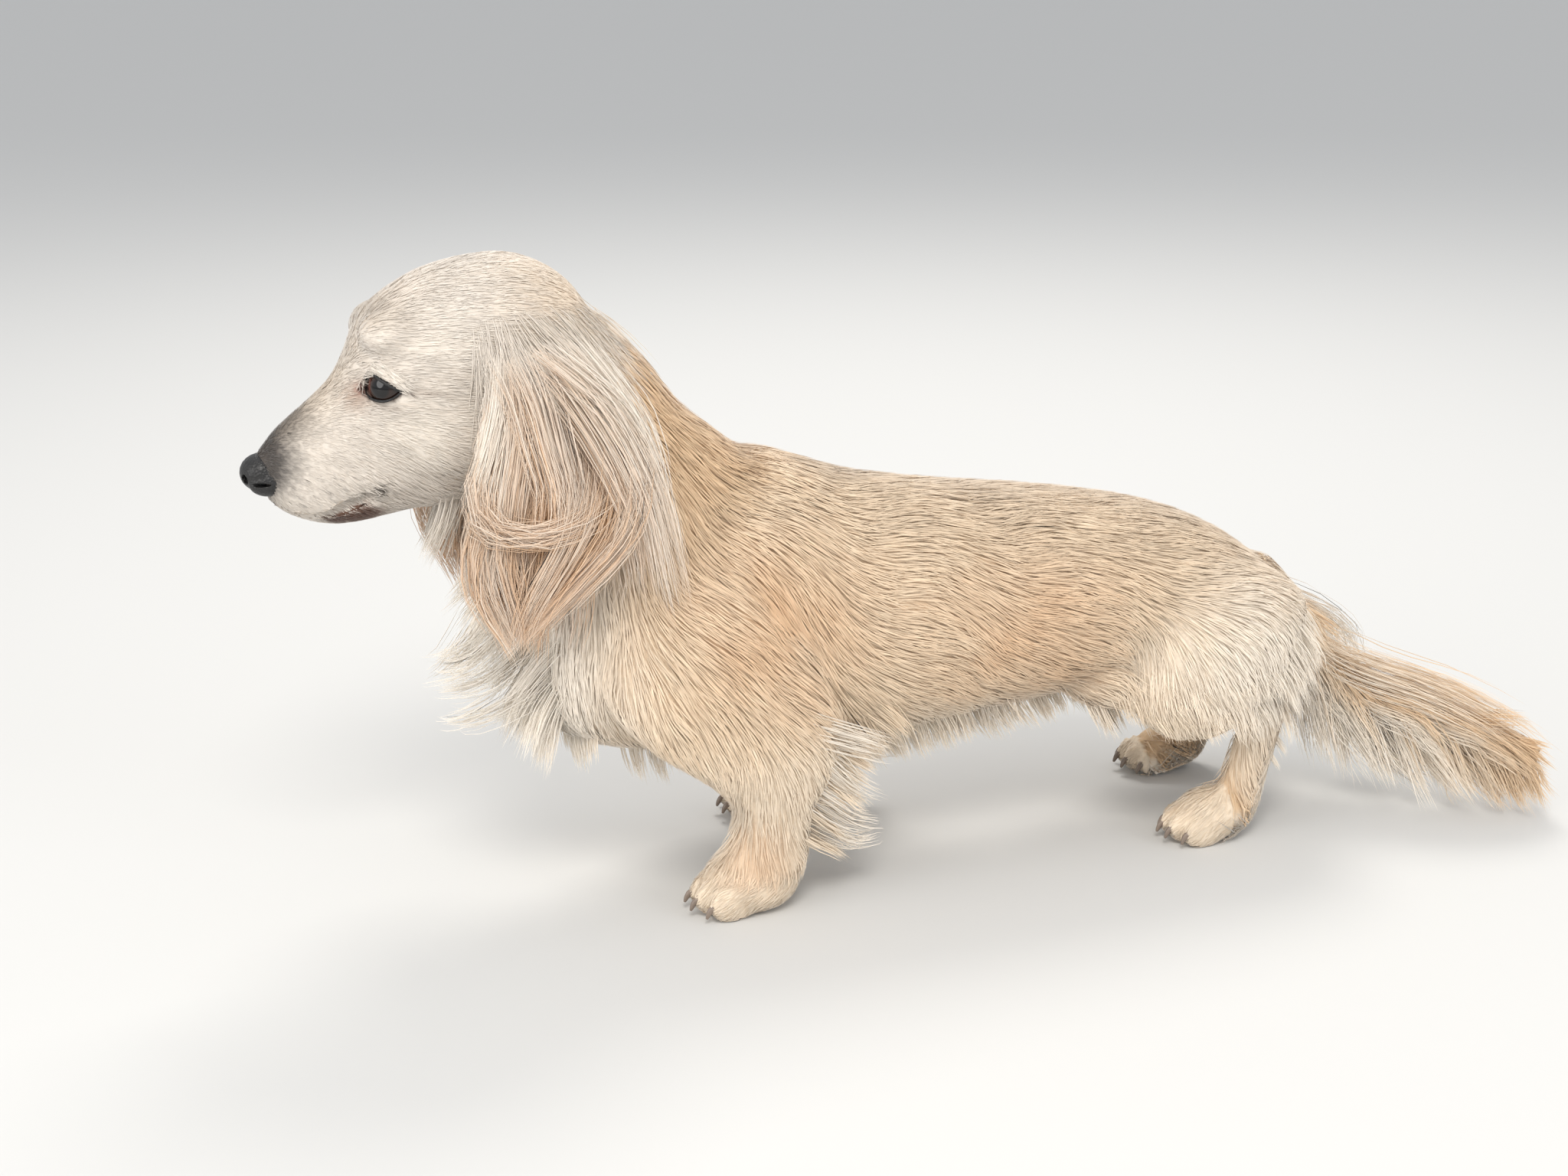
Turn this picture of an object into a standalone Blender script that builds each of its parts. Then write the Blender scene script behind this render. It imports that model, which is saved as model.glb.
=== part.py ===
"""A long-haired miniature dachshund, cream, standing still and slightly crouched behind.

Metres, +Z up. It faces -Y and its left side is +X. The four soles lie on z = 0, and x = y = 0 is the
middle of its bounding box. The tables below are in centimetres, in a frame whose x = 0 is the middle of
the body and whose y = 0 is the middle of the back.
"""

import math
import random

import bpy
import bmesh
import numpy as np
from mathutils import Matrix, Vector
from mathutils.bvhtree import BVHTree
from mathutils.kdtree import KDTree

CM = 0.01
GAP = 0.0003
PACE_GAP = 0.00045

SEED = 20

# A rib is (top or front point, bottom or back point, half width, x of its middle, taper). Points are
# (y, z). A taper above zero makes it wider at its first point, below zero at its second.
TORSO_RIBS = [
    ((-17.4, 12.6), (-17.3, 9.6), 1.5, 0.0, 0.0),
    ((-16.6, 14.6), (-16.6, 7.6), 3.0, 0.0, 0.0),
    ((-14.4, 16.6), (-14.6, 6.5), 4.1, 0.0, 0.0),
    ((-11.0, 18.2), (-11.4, 5.9), 4.7, 0.0, -0.05),
    ((-7.4, 18.9), (-7.4, 5.7), 5.0, 0.0, -0.10),
    ((-3.0, 17.8), (-3.0, 5.7), 5.25, 0.0, -0.12),
    ((1.0, 17.0), (1.0, 6.1), 5.3, 0.0, -0.10),
    ((5.4, 16.4), (5.4, 6.6), 5.1, 0.0, -0.08),
    ((9.4, 15.7), (9.4, 7.0), 4.8, 0.0, -0.05),
    ((12.4, 14.9), (12.8, 6.9), 4.6, 0.0, 0.0),
    ((15.0, 13.8), (15.6, 6.9), 4.3, 0.0, 0.0),
    ((17.2, 12.2), (17.2, 7.2), 3.5, 0.0, 0.0),
    ((18.7, 10.6), (18.2, 8.0), 2.0, 0.0, 0.0),
]
NECK_RIBS = [
    ((-6.5, 17.6), (-15.2, 8.8), 3.9, 0.0, -0.05),
    ((-8.6, 19.4), (-17.4, 12.4), 3.9, -0.1, -0.05),
    ((-10.4, 21.4), (-18.3, 14.8), 3.6, -0.3, 0.0),
    ((-12.0, 23.6), (-18.8, 16.8), 3.3, -0.5, 0.0),
    ((-13.6, 25.2), (-19.0, 18.6), 3.1, -0.7, 0.0),
    ((-15.4, 26.0), (-19.0, 20.2), 2.4, -0.7, 0.0),
]
HEAD_X = -0.7
HEAD_RIBS = [
    ((-27.75, 20.55), (-27.7, 18.3), 0.85, HEAD_X, 0.0),
    ((-27.2, 21.2), (-27.0, 17.7), 1.15, HEAD_X, -0.10),
    ((-26.3, 21.95), (-26.0, 17.25), 1.35, HEAD_X, -0.14),
    ((-25.5, 22.6), (-25.0, 17.05), 1.50, HEAD_X, -0.15),
    ((-24.8, 23.3), (-23.9, 17.1), 1.75, HEAD_X, -0.14),
    ((-24.1, 24.2), (-22.8, 17.3), 2.15, HEAD_X, -0.08),
    ((-23.3, 25.3), (-21.6, 17.5), 2.55, HEAD_X, -0.02),
    ((-22.4, 26.4), (-20.6, 17.5), 2.85, HEAD_X, 0.0),
    ((-20.6, 27.5), (-19.6, 17.8), 3.05, HEAD_X, 0.02),
    ((-18.2, 27.95), (-18.2, 18.6), 3.05, HEAD_X, 0.04),
    ((-16.5, 27.65), (-16.9, 19.8), 2.85, HEAD_X, 0.04),
    ((-15.1, 26.8), (-15.8, 21.0), 2.35, HEAD_X, 0.0),
    ((-14.3, 25.8), (-15.0, 22.4), 1.5, HEAD_X, 0.0),
]
# Ribs of the left limbs. The right ones are their mirror images, with the foot set back by a pace.
FORELEG_RIBS = [
    ((-12.6, 15.2), (-7.0, 16.2), 1.0, 3.0, 0.0),
    ((-14.6, 12.2), (-5.6, 13.4), 1.8, 3.4, 0.0),
    ((-15.0, 9.6), (-4.8, 10.2), 2.2, 3.9, 0.0),
    ((-13.2, 7.5), (-4.6, 7.4), 2.3, 4.4, 0.0),
    ((-11.2, 6.1), (-5.2, 5.7), 1.9, 4.8, 0.0),
    ((-9.8, 4.7), (-6.1, 4.3), 1.55, 5.0, 0.0),
    ((-9.9, 3.3), (-6.3, 2.9), 1.5, 5.0, 0.0),
    ((-10.4, 2.3), (-6.5, 1.9), 1.55, 5.0, 0.0),
    ((-10.3, 1.2), (-6.9, 1.0), 1.4, 5.0, 0.0),
]
THIGH_RIBS = [
    ((11.6, 14.0), (16.8, 13.4), 1.2, 2.6, 0.0),
    ((9.9, 11.8), (18.3, 11.0), 2.2, 3.0, 0.0),
    ((9.2, 9.6), (18.0, 8.8), 2.5, 3.4, 0.0),
    ((9.1, 7.6), (16.8, 7.2), 2.4, 3.8, 0.0),
    ((9.8, 6.0), (15.0, 5.8), 1.9, 4.1, 0.0),
    ((11.0, 5.0), (13.4, 5.0), 1.0, 4.2, 0.0),
]
EAR_RIBS = [
    ((-18.4, 24.9), (-16.2, 25.2), 0.30, 1.95, 0.0),
    ((-19.0, 23.8), (-14.8, 24.2), 0.50, 2.60, 0.0),
    ((-19.3, 22.2), (-13.9, 22.6), 0.55, 3.20, 0.0),
    ((-19.6, 20.6), (-13.3, 20.8), 0.55, 3.65, 0.0),
    ((-19.8, 19.0), (-13.1, 18.8), 0.50, 4.00, 0.0),
    ((-19.8, 17.6), (-13.4, 17.3), 0.45, 4.25, 0.0),
    ((-19.4, 16.4), (-14.2, 16.1), 0.38, 4.35, 0.0),
    ((-18.6, 15.6), (-15.2, 15.5), 0.25, 4.40, 0.0),
]
# A stay is (x, y, z, half width, half depth) on the middle line of a round limb.
SHANK_STAYS = [
    (4.2, 11.4, 7.0, 1.5, 1.7),
    (4.2, 14.0, 7.1, 1.3, 1.4),
    (4.2, 16.0, 6.5, 1.0, 1.2),
    (4.25, 15.7, 5.0, 0.95, 1.15),
    (4.3, 15.2, 3.3, 0.95, 1.15),
    (4.3, 14.7, 1.5, 1.15, 1.2),
]
TAIL_STAYS = [
    (0.0, 16.6, 11.0, 1.9, 1.9),
    (0.1, 18.6, 9.3, 1.5, 1.5),
    (0.8, 20.2, 7.2, 1.2, 1.2),
    (2.0, 21.9, 5.6, 1.1, 1.1),
    (3.6, 23.9, 4.9, 1.05, 1.05),
    (5.1, 26.2, 4.3, 0.9, 0.9),
    (6.1, 28.2, 3.4, 0.65, 0.65),
    (6.5, 29.6, 2.8, 0.35, 0.35),
]
# A swelling is (x from the middle of the head, y, z, radius across, radius along, radius up).
BROW = (1.50, -22.05, 24.5, 1.1, 1.5, 0.88)
CHEEK = (1.75, -20.6, 21.2, 1.4, 2.7, 2.3)
FLEW = (0.80, -25.2, 18.7, 0.75, 2.3, 1.25)
NOSE_PAD = (0.0, -27.9, 19.6, 0.98, 0.92, 0.88)
NOSE_WING = (0.55, -27.7, 19.25, 0.52, 0.85, 0.62)
NOSTRIL = (0.42, -28.62, 19.42, 0.2, 0.42, 0.24)
NOSTRIL_SLIT = (0.98, -28.1, 19.25, 0.26, 0.5, 0.09)
PHILTRUM = (0.0, -28.85, 19.0, 0.06, 0.3, 0.4)
# Points of the left lip line as (x from the middle of the head, y, z), from the middle to the corner.
LIP_LINE = [
    (0.0, -27.75, 18.1),
    (0.75, -27.3, 17.8),
    (1.2, -26.3, 17.55),
    (1.4, -25.3, 17.7),
    (1.6, -24.3, 18.2),
    (1.8, -23.3, 18.75),
]
LIP_GROOVE = 0.15
# The rolled front edge of the left ear, as stays.
EAR_CUP = (3.25, -17.3, 22.0, 0.5, 1.5, 1.8)
EAR_FOLD = [
    (2.0, -17.4, 25.0, 0.40, 0.45),
    (2.5, -18.7, 24.0, 0.45, 0.50),
    (3.0, -19.2, 22.4, 0.45, 0.45),
    (3.6, -19.5, 20.4, 0.42, 0.42),
    (4.1, -19.55, 18.2, 0.38, 0.38),
]

EYE_RADIUS = 0.95
EYE = (1.62, -22.62, 22.97)
LID_DEPTH = 0.13
EYE_AZIMUTH = 52.0
EYE_HALF_LENGTH = 0.88
UPPER_LID = (0.62, -0.30)
LOWER_LID = (-0.42, 0.20)
CORNER_DROP = -0.10
UPPER_RIM = 0.17
LOWER_RIM = 0.12

FRONT_PAW = (5.0, -8.9, 1.28)
FRONT_PAW_SIZE = (1.75, 2.2, 1.5)
HIND_PAW = (4.35, 13.7, 1.18)
HIND_PAW_SIZE = (1.5, 2.0, 1.3)
FRONT_STEP_BACK = 4.4
HIND_STEP_BACK = 2.0
STEP_TOP = 14.0
STEP_BOTTOM = 5.0
WRIST_HEIGHT = 2.0
ANKLE_HEIGHT = 1.9
CLAW_LENGTH = 0.62
CLAW_RADIUS = 0.19

# The lines along which the body is parted, as points (y, z), and how far from the middle they start.
FORELEG_OUTLINE = [
    (-15.8, -1.0), (-16.1, 4.0), (-16.3, 8.5), (-15.9, 11.6), (-13.8, 14.6), (-10.6, 15.9),
    (-7.4, 15.6), (-5.0, 13.4), (-3.8, 10.2), (-3.3, 7.0), (-2.9, 3.0), (-2.9, -1.0),
]
HINDLEG_OUTLINE = [
    (8.0, -1.0), (8.0, 3.0), (8.1, 6.5), (8.4, 9.6), (9.8, 12.3), (12.2, 13.6),
    (15.2, 13.2), (17.8, 12.0), (19.3, 9.8), (19.2, 6.5), (19.2, 3.0), (19.2, -1.0),
]
FORELEG_INNER = 2.5
HINDLEG_INNER = 2.1
HEAD_CUT = ((-13.2, 25.6), (-19.2, 17.0))
NECK_CUT = ((-7.2, 19.4), (-17.4, 13.6))
TAIL_CUT = ((19.6, 10.2), (17.6, 7.6))

# The coat's long locks are set in rows. A row is (first root, last root, count, way that the locks lie
# at its first and last root, length, width, way that their flat side faces). Roots are (x, y, z) near
# the skin, on which each is then set.
RUFF_ROWS = [
    ((-2.0, -20.0, 16.7), (2.0, -20.0, 16.7), 3, (-0.25, -0.45, -0.86), (0.25, -0.45, -0.86), 2.9, 0.95),
    ((-2.9, -20.0, 15.3), (2.9, -20.0, 15.3), 5, (-0.25, -0.55, -0.80), (0.25, -0.55, -0.80), 3.3, 1.0),
    ((-2.5, -20.0, 13.8), (2.5, -20.0, 13.8), 4, (-0.22, -0.60, -0.77), (0.22, -0.60, -0.77), 3.5, 1.05),
    ((-3.0, -19.5, 12.3), (3.0, -19.5, 12.3), 5, (-0.22, -0.60, -0.78), (0.22, -0.60, -0.78), 3.6, 1.05),
    ((-2.4, -19.5, 10.8), (2.4, -19.5, 10.8), 4, (-0.20, -0.50, -0.85), (0.20, -0.50, -0.85), 3.5, 1.05),
    ((-2.9, -19.0, 9.4), (2.9, -19.0, 9.4), 5, (-0.15, -0.35, -0.93), (0.15, -0.35, -0.93), 3.1, 1.0),
    ((-2.2, -18.0, 8.0), (2.2, -18.0, 8.0), 4, (-0.10, -0.15, -0.98), (0.10, -0.15, -0.98), 2.5, 0.95),
    ((-2.2, -15.6, 6.8), (2.2, -15.6, 6.8), 3, (-0.05, 0.15, -0.98), (0.05, 0.15, -0.98), 1.8, 0.9),
]
BELLY_ROWS = [
    ((1.2, -13.4, 5.6), (1.2, -6.6, 4.6), 4, (0.05, 0.20, -0.98), (0.05, 0.30, -0.95), 1.8, 1.15),
    ((-1.2, -12.6, 5.4), (-1.2, -5.8, 4.6), 4, (-0.05, 0.20, -0.98), (-0.05, 0.30, -0.95), 1.8, 1.15),
    ((2.3, -3.2, 5.0), (2.3, 8.4, 6.0), 6, (0.10, 0.50, -0.86), (0.10, 0.55, -0.84), 2.3, 1.3),
    ((-2.3, -3.2, 5.0), (-2.3, 8.4, 6.0), 6, (-0.10, 0.50, -0.86), (-0.10, 0.55, -0.84), 2.3, 1.3),
    ((0.0, -2.6, 4.5), (0.0, 9.2, 5.5), 4, (0.0, 0.50, -0.86), (0.0, 0.55, -0.84), 2.2, 1.4),
]
ELBOW_ROWS = [
    ((4.0, -3.5, 8.6), (4.7, -5.5, 3.0), 6, (-0.08, 0.80, -0.60), (-0.05, 0.70, -0.70), 2.7, 0.85),
    ((5.2, -3.5, 7.8), (5.4, -5.5, 3.2), 5, (0.10, 0.80, -0.60), (0.08, 0.70, -0.70), 2.5, 0.85),
]
TROUSER_ROWS = [
    ((2.6, 18.8, 11.0), (3.0, 17.4, 7.6), 4, (-0.10, 0.30, -0.95), (-0.05, 0.15, -0.98), 2.9, 1.0),
    ((3.7, 18.8, 10.6), (3.8, 17.2, 7.2), 4, (0.00, 0.32, -0.95), (0.00, 0.15, -0.98), 2.8, 1.0),
    ((4.8, 17.6, 10.0), (4.7, 16.4, 7.0), 3, (0.12, 0.28, -0.95), (0.08, 0.15, -0.98), 2.7, 1.0),
    ((4.25, 17.4, 6.0), (4.3, 17.0, 3.6), 2, (0.00, 0.42, -0.90), (0.00, 0.35, -0.93), 1.5, 0.75),
]
RUMP_ROWS = [
    ((-2.0, 18.6, 9.9), (-0.7, 18.9, 9.3), 3, (-0.25, 0.72, -0.64), (-0.20, 0.78, -0.58), 4.6, 1.1),
    ((-1.9, 18.2, 8.8), (-0.6, 18.4, 8.4), 3, (-0.22, 0.60, -0.76), (-0.16, 0.66, -0.72), 4.3, 1.1),
]
EAR_ROWS = [
    ((4.3, -18.6, 21.6), (4.3, -14.2, 21.6), 3, (0.05, -0.16, -0.98), (0.05, 0.22, -0.97), 3.6, 1.15),
    ((4.6, -19.0, 19.4), (4.6, -13.6, 19.4), 4, (0.05, -0.16, -0.98), (0.05, 0.20, -0.98), 3.7, 1.2),
    ((4.9, -19.2, 17.4), (4.9, -13.6, 17.4), 4, (0.04, -0.15, -0.98), (0.04, 0.14, -0.99), 3.4, 1.2),
    ((4.4, -19.4, 15.9), (4.4, -13.9, 15.9), 5, (0.00, -0.16, -0.98), (0.00, 0.10, -0.99), 2.9, 1.15),
    ((4.3, -18.9, 15.3), (4.3, -16.4, 15.2), 3, (0.00, 0.00, -1.00), (0.00, 0.02, -1.00), 3.7, 1.15),
]
# The plume's locks: where around the tail they are set, in degrees from its underside, how far along
# it the first and last are, how many there are, and their length and width.
PLUME_ROWS = [
    (0, 0.12, 0.98, 11, 4.3, 1.25),
    (42, 0.10, 0.94, 9, 4.2, 1.25),
    (-42, 0.10, 0.94, 9, 4.2, 1.25),
    (85, 0.08, 0.92, 7, 3.4, 1.15),
    (-85, 0.08, 0.92, 7, 3.4, 1.15),
    (168, 0.14, 0.94, 4, 2.8, 1.15),
]
LOCK_THICKNESS = 0.16
LOCK_SINK = 0.34
LOCK_CLEARANCE = 0.0006
FLOOR_CLEARANCE = 0.0025
# How far along a lock each ring lies, and how wide it is there.
LOCK_RINGS = [(0.0, 0.62), (0.38, 1.0), (0.74, 0.72)]

# The exact solver loses the whole body at some of the cuts that part it.
PARTING_SOLVERS = ("MANIFOLD", "EXACT")
NUDGE = (0.000005, 0.000003, 0.000004)
NUDGES = 5
PARTING_NUDGE = (0.0001, 0.00015, 0.0001)
TOUCH = 0.000001
DRAWN_BACK = 0.000006
BODY_VOXEL = 0.0022
HEAD_VOXEL = 0.0013
BODY_TRIANGLES = 1800
HEAD_TRIANGLES = 1150

CREAM = (0.62, 0.47, 0.33)
PALE_CREAM = (0.74, 0.64, 0.53)
NOSE_BLACK = (0.02, 0.021, 0.026)
EYE_BROWN = (0.03, 0.015, 0.008)
CLAW_GREY = (0.12, 0.10, 0.09)


def catmull(values, t):
    """The value at t, from 0 to len(values) - 1, on a smooth curve through the values."""
    i = min(int(t), len(values) - 2)
    f = t - i
    a = values[max(i - 1, 0)]
    b = values[i]
    c = values[i + 1]
    d = values[min(i + 2, len(values) - 1)]
    return 0.5 * (2 * b + (c - a) * f + (2 * a - 5 * b + 4 * c - d) * f * f
                  + (3 * b - a - 3 * c + d) * f * f * f)


def smooth_rows(rows, steps):
    """The rows of numbers with steps - 1 more between each two, on smooth curves."""
    rows = np.array(rows, float)
    count = (len(rows) - 1) * steps
    return np.array([catmull(rows, k / steps) for k in range(count + 1)])


def closed_tube(rings):
    """A bmesh closed at both ends, from rings of the same number of points."""
    bm = bmesh.new()
    loops = [[bm.verts.new(p) for p in ring] for ring in rings]
    sides = len(loops[0])
    for a, b in zip(loops, loops[1:]):
        for k in range(sides):
            bm.faces.new((a[k], a[(k + 1) % sides], b[(k + 1) % sides], b[k]))
    for ring in (loops[0], loops[-1]):
        middle = bm.verts.new(sum((v.co for v in ring), Vector()) / sides)
        for k in range(sides):
            bm.faces.new((ring[k], ring[(k + 1) % sides], middle))
    bmesh.ops.recalc_face_normals(bm, faces=bm.faces)
    return bm


def ribbed(ribs, sides=28, steps=4, square=2.2):
    """A body lofted through ribs, each an oval between its two points."""
    flat = [(*a, *b, half, x, taper) for a, b, half, x, taper in ribs]
    rings = []
    for ty, tz, by, bz, half, x, taper in smooth_rows(flat, steps):
        ring = []
        for k in range(sides):
            angle = 2 * math.pi * k / sides
            c, s = math.cos(angle), math.sin(angle)
            c = math.copysign(abs(c) ** (2 / square), c)
            s = math.copysign(abs(s) ** (2 / square), s)
            across = x + half * c * (1 + taper * s)
            y = (ty + by) / 2 + s * (ty - by) / 2
            z = (tz + bz) / 2 + s * (tz - bz) / 2
            ring.append(Vector((across, y, z)) * CM)
        rings.append(ring)
    return closed_tube(rings)


def limb(stays, sides=18, steps=4):
    """A round limb along its stays."""
    rows = smooth_rows(stays, steps)
    rings = []
    for i, (x, y, z, half, deep) in enumerate(rows):
        before, after = rows[max(i - 1, 0)], rows[min(i + 1, len(rows) - 1)]
        along = Vector(after[:3] - before[:3]).normalized()
        side = (Vector((1, 0, 0)) - along * along.x).normalized()
        other = along.cross(side)
        middle = Vector((x, y, z))
        ring = []
        for k in range(sides):
            angle = 2 * math.pi * k / sides
            ring.append((middle + side * half * math.cos(angle) + other * deep * math.sin(angle)) * CM)
        rings.append(ring)
    return closed_tube(rings)


def swelling(x, y, z, rx, ry, rz, turn=0.0, tip=0.0, detail=3):
    """An ellipsoid, tipped about X and then turned about Z, in degrees."""
    bm = bmesh.new()
    bmesh.ops.create_icosphere(bm, subdivisions=detail, radius=1.0)
    place = (Matrix.Translation(Vector((x, y, z)) * CM)
             @ Matrix.Rotation(math.radians(turn), 4, "Z") @ Matrix.Rotation(math.radians(tip), 4, "X")
             @ Matrix.Diagonal((rx * CM, ry * CM, rz * CM, 1.0)))
    bmesh.ops.transform(bm, matrix=place, verts=bm.verts)
    return bm


def on_head(form, side, turn=0.0, detail=3):
    """A swelling of the head, on its left for side 1 and on its right for side -1."""
    x, *rest = form
    return swelling(HEAD_X + side * x, *rest, turn=turn * side, detail=detail)


def step(z):
    """How much of a pace the limb takes at height z, from 0 at the shoulder to 1 at the foot."""
    t = min(max((STEP_TOP - z / CM) / (STEP_TOP - STEP_BOTTOM), 0.0), 1.0)
    return t * t * (3 - 2 * t)


def mirrored(bm, back=0.0):
    """The mirror image of bm across x = 0, its foot set back by so many centimetres."""
    twin = bm.copy()
    for v in twin.verts:
        v.co = Vector((-v.co.x, v.co.y + back * step(v.co.z) * CM, v.co.z))
    bmesh.ops.reverse_faces(twin, faces=twin.faces)
    return twin


def toe_places(centre, size):
    """The middles of a left paw's four toes and the way that each points, in degrees."""
    x, y, _ = centre
    width, reach, _ = size
    places = []
    for across, back, lift in ((-1.08, 0.45, 0.0), (-0.38, 0.0, 0.08), (0.38, 0.0, 0.08), (1.08, 0.45, 0.0)):
        places.append((x + across * width / 1.6, y - reach * 0.72 + back, 0.72 + lift, 7 * across))
    return places


def paw_forms(centre, size):
    """The pad and the four toes of a left paw."""
    forms = [swelling(*centre, *size)]
    for x, y, z, turn in toe_places(centre, size):
        forms.append(swelling(x, y, z, 0.47, 1.2, 0.9, turn=turn))
    return forms


def body_forms():
    """Every rounded form behind the head, as closed bodies that overlap."""
    forms = [ribbed(TORSO_RIBS, sides=36), ribbed(NECK_RIBS), limb(TAIL_STAYS)]
    foreleg = [ribbed(FORELEG_RIBS)] + paw_forms(FRONT_PAW, FRONT_PAW_SIZE)
    hindleg = [ribbed(THIGH_RIBS), limb(SHANK_STAYS)] + paw_forms(HIND_PAW, HIND_PAW_SIZE)
    for side, back in ((foreleg, FRONT_STEP_BACK), (hindleg, HIND_STEP_BACK)):
        forms += side + [mirrored(bm, back) for bm in side]
    return forms


def head_forms():
    """The skull, muzzle, brows, cheeks and lips, with the top of the neck."""
    forms = [ribbed(HEAD_RIBS, sides=36), ribbed(NECK_RIBS)]
    around_eye = (*EYE, *[EYE_RADIUS + LID_DEPTH] * 3)
    for side in (-1, 1):
        forms += [on_head(BROW, side, turn=-12), on_head(CHEEK, side, turn=-10), on_head(FLEW, side),
                  on_head(around_eye, side)]
    return forms


def object_of(name, forms):
    """One object that holds all these bodies."""
    mesh = bpy.data.meshes.new(name)
    whole = bmesh.new()
    for bm in forms:
        held = bpy.data.meshes.new("form")
        bm.to_mesh(held)
        bm.free()
        whole.from_mesh(held)
        bpy.data.meshes.remove(held)
    whole.to_mesh(mesh)
    whole.free()
    obj = bpy.data.objects.new(name, mesh)
    bpy.context.scene.collection.objects.link(obj)
    return obj


def copy_of(obj, name):
    twin = bpy.data.objects.new(name, obj.data.copy())
    bpy.context.scene.collection.objects.link(twin)
    return twin


def discard(*objects):
    for obj in objects:
        mesh = obj.data
        bpy.data.objects.remove(obj)
        bpy.data.meshes.remove(mesh)


def apply_all(obj):
    """Replaces the object's mesh by the one that its modifiers make."""
    graph = bpy.context.evaluated_depsgraph_get()
    made = bpy.data.meshes.new_from_object(obj.evaluated_get(graph), depsgraph=graph)
    obj.modifiers.clear()
    old = obj.data
    obj.data = made
    bpy.data.meshes.remove(old)
    return obj


def fused(name, forms, voxel, rounds, triangles):
    """The union of the forms as one smooth skin of about so many triangles."""
    obj = object_of(name, forms)
    remesh = obj.modifiers.new("Remesh", "REMESH")
    remesh.mode = "VOXEL"
    remesh.voxel_size = voxel
    smooth = obj.modifiers.new("Smooth", "SMOOTH")
    smooth.factor = 0.5
    smooth.iterations = rounds
    triangulate = obj.modifiers.new("Triangulate", "TRIANGULATE")
    triangulate.quad_method = "BEAUTY"
    apply_all(obj)
    if len(obj.data.polygons) > triangles:
        decimate = obj.modifiers.new("Decimate", "DECIMATE")
        decimate.ratio = triangles / len(obj.data.polygons)
        apply_all(obj)
    return keep_largest(obj)


def closed(bm):
    return len(bm.faces) > 0 and all(len(edge.link_faces) == 2 for edge in bm.edges)


def in_triangles(obj):
    """The object's mesh as a bmesh of triangles, none of whose new edges doubles an old one."""
    for method in ("EAR_CLIP", "BEAUTY", "POKE"):
        bm = bmesh.new()
        bm.from_mesh(obj.data)
        many_sided = [f for f in bm.faces if len(f.verts) > 3]
        if method == "POKE":
            bmesh.ops.connect_verts_concave(bm, faces=many_sided)
            bmesh.ops.poke(bm, faces=[f for f in bm.faces if len(f.verts) > 3])
        else:
            bmesh.ops.triangulate(bm, faces=many_sided, ngon_method=method)
        if closed(bm) or method == "POKE":
            return bm
        bm.free()


def keep_largest(obj):
    """Leaves only the largest closed surface of the mesh."""
    bm = in_triangles(obj)
    left = set(bm.verts)
    groups = []
    while left:
        stack = [left.pop()]
        group = []
        while stack:
            v = stack.pop()
            group.append(v)
            for edge in v.link_edges:
                other = edge.other_vert(v)
                if other in left:
                    left.remove(other)
                    stack.append(other)
        groups.append(group)
    groups.sort(key=len)
    for group in groups[:-1]:
        bmesh.ops.delete(bm, geom=group, context="VERTS")
    bm.to_mesh(obj.data)
    bm.free()
    return obj


def is_closed(obj):
    bm = bmesh.new()
    bm.from_mesh(obj.data)
    answer = closed(bm)
    bm.free()
    return answer


def boolean(obj, other, operation, solvers=("EXACT", "MANIFOLD")):
    """Applies one Boolean with another object, or with a collection's objects.

    Where no solver gives a closed body, the object is moved by a few thousandths of a millimetre
    and the Boolean is tried again.
    """
    before = obj.data.copy()
    for attempt in range(NUDGES * len(solvers)):
        solver = solvers[attempt % len(solvers)]
        if attempt and attempt % len(solvers) == 0:
            before.transform(Matrix.Translation(NUDGE))
            obj.data = before.copy()
        if solver == "MANIFOLD" and not is_closed(obj):
            continue
        modifier = obj.modifiers.new("Boolean", "BOOLEAN")
        modifier.operation = operation
        modifier.solver = solver
        if isinstance(other, bpy.types.Collection):
            modifier.operand_type = "COLLECTION"
            modifier.collection = other
        else:
            modifier.object = other
        apply_all(obj)
        if obj.data.polygons and is_closed(keep_largest(obj)):
            break
        obj.data = before.copy()
    else:
        raise RuntimeError(f"no solver gives a closed {operation} of {obj.name}")
    bpy.data.meshes.remove(before)
    return obj


def inflated(obj, by):
    """A copy whose surface lies further out by this much."""
    twin = copy_of(obj, obj.name + "_larger")
    bm = bmesh.new()
    bm.from_mesh(twin.data)
    bm.normal_update()
    shifts = [v.normal * by * max(1.0, min(v.calc_shell_factor(), 1.8)) for v in bm.verts]
    for v, shift in zip(bm.verts, shifts):
        v.co += shift
    bm.to_mesh(twin.data)
    bm.free()
    return twin


def cut_clear(obj, other, gap=GAP):
    """Cuts obj so that it keeps a gap to the other object."""
    larger = inflated(other, gap)
    boolean(obj, larger, "DIFFERENCE")
    discard(larger)
    return obj


def slab(cut, beyond):
    """A large block on one side of a line through two points (y, z), starting so far from it."""
    (y0, z0), (y1, z1) = cut
    along = Vector((0, y1 - y0, z1 - z0)).normalized()
    across = Vector((0, -along.z, along.y))
    middle = Vector((0, (y0 + y1) / 2, (z0 + z1) / 2)) * CM
    bm = bmesh.new()
    bmesh.ops.create_cube(bm, size=1.0)
    reach = 0.8
    for v in bm.verts:
        x, a, b = v.co * reach
        v.co = middle + Vector((1, 0, 0)) * x + along * a + across * (b + reach / 2 + beyond)
    bm.normal_update()
    bmesh.ops.recalc_face_normals(bm, faces=bm.faces)
    return object_of("slab", [bm])


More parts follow.
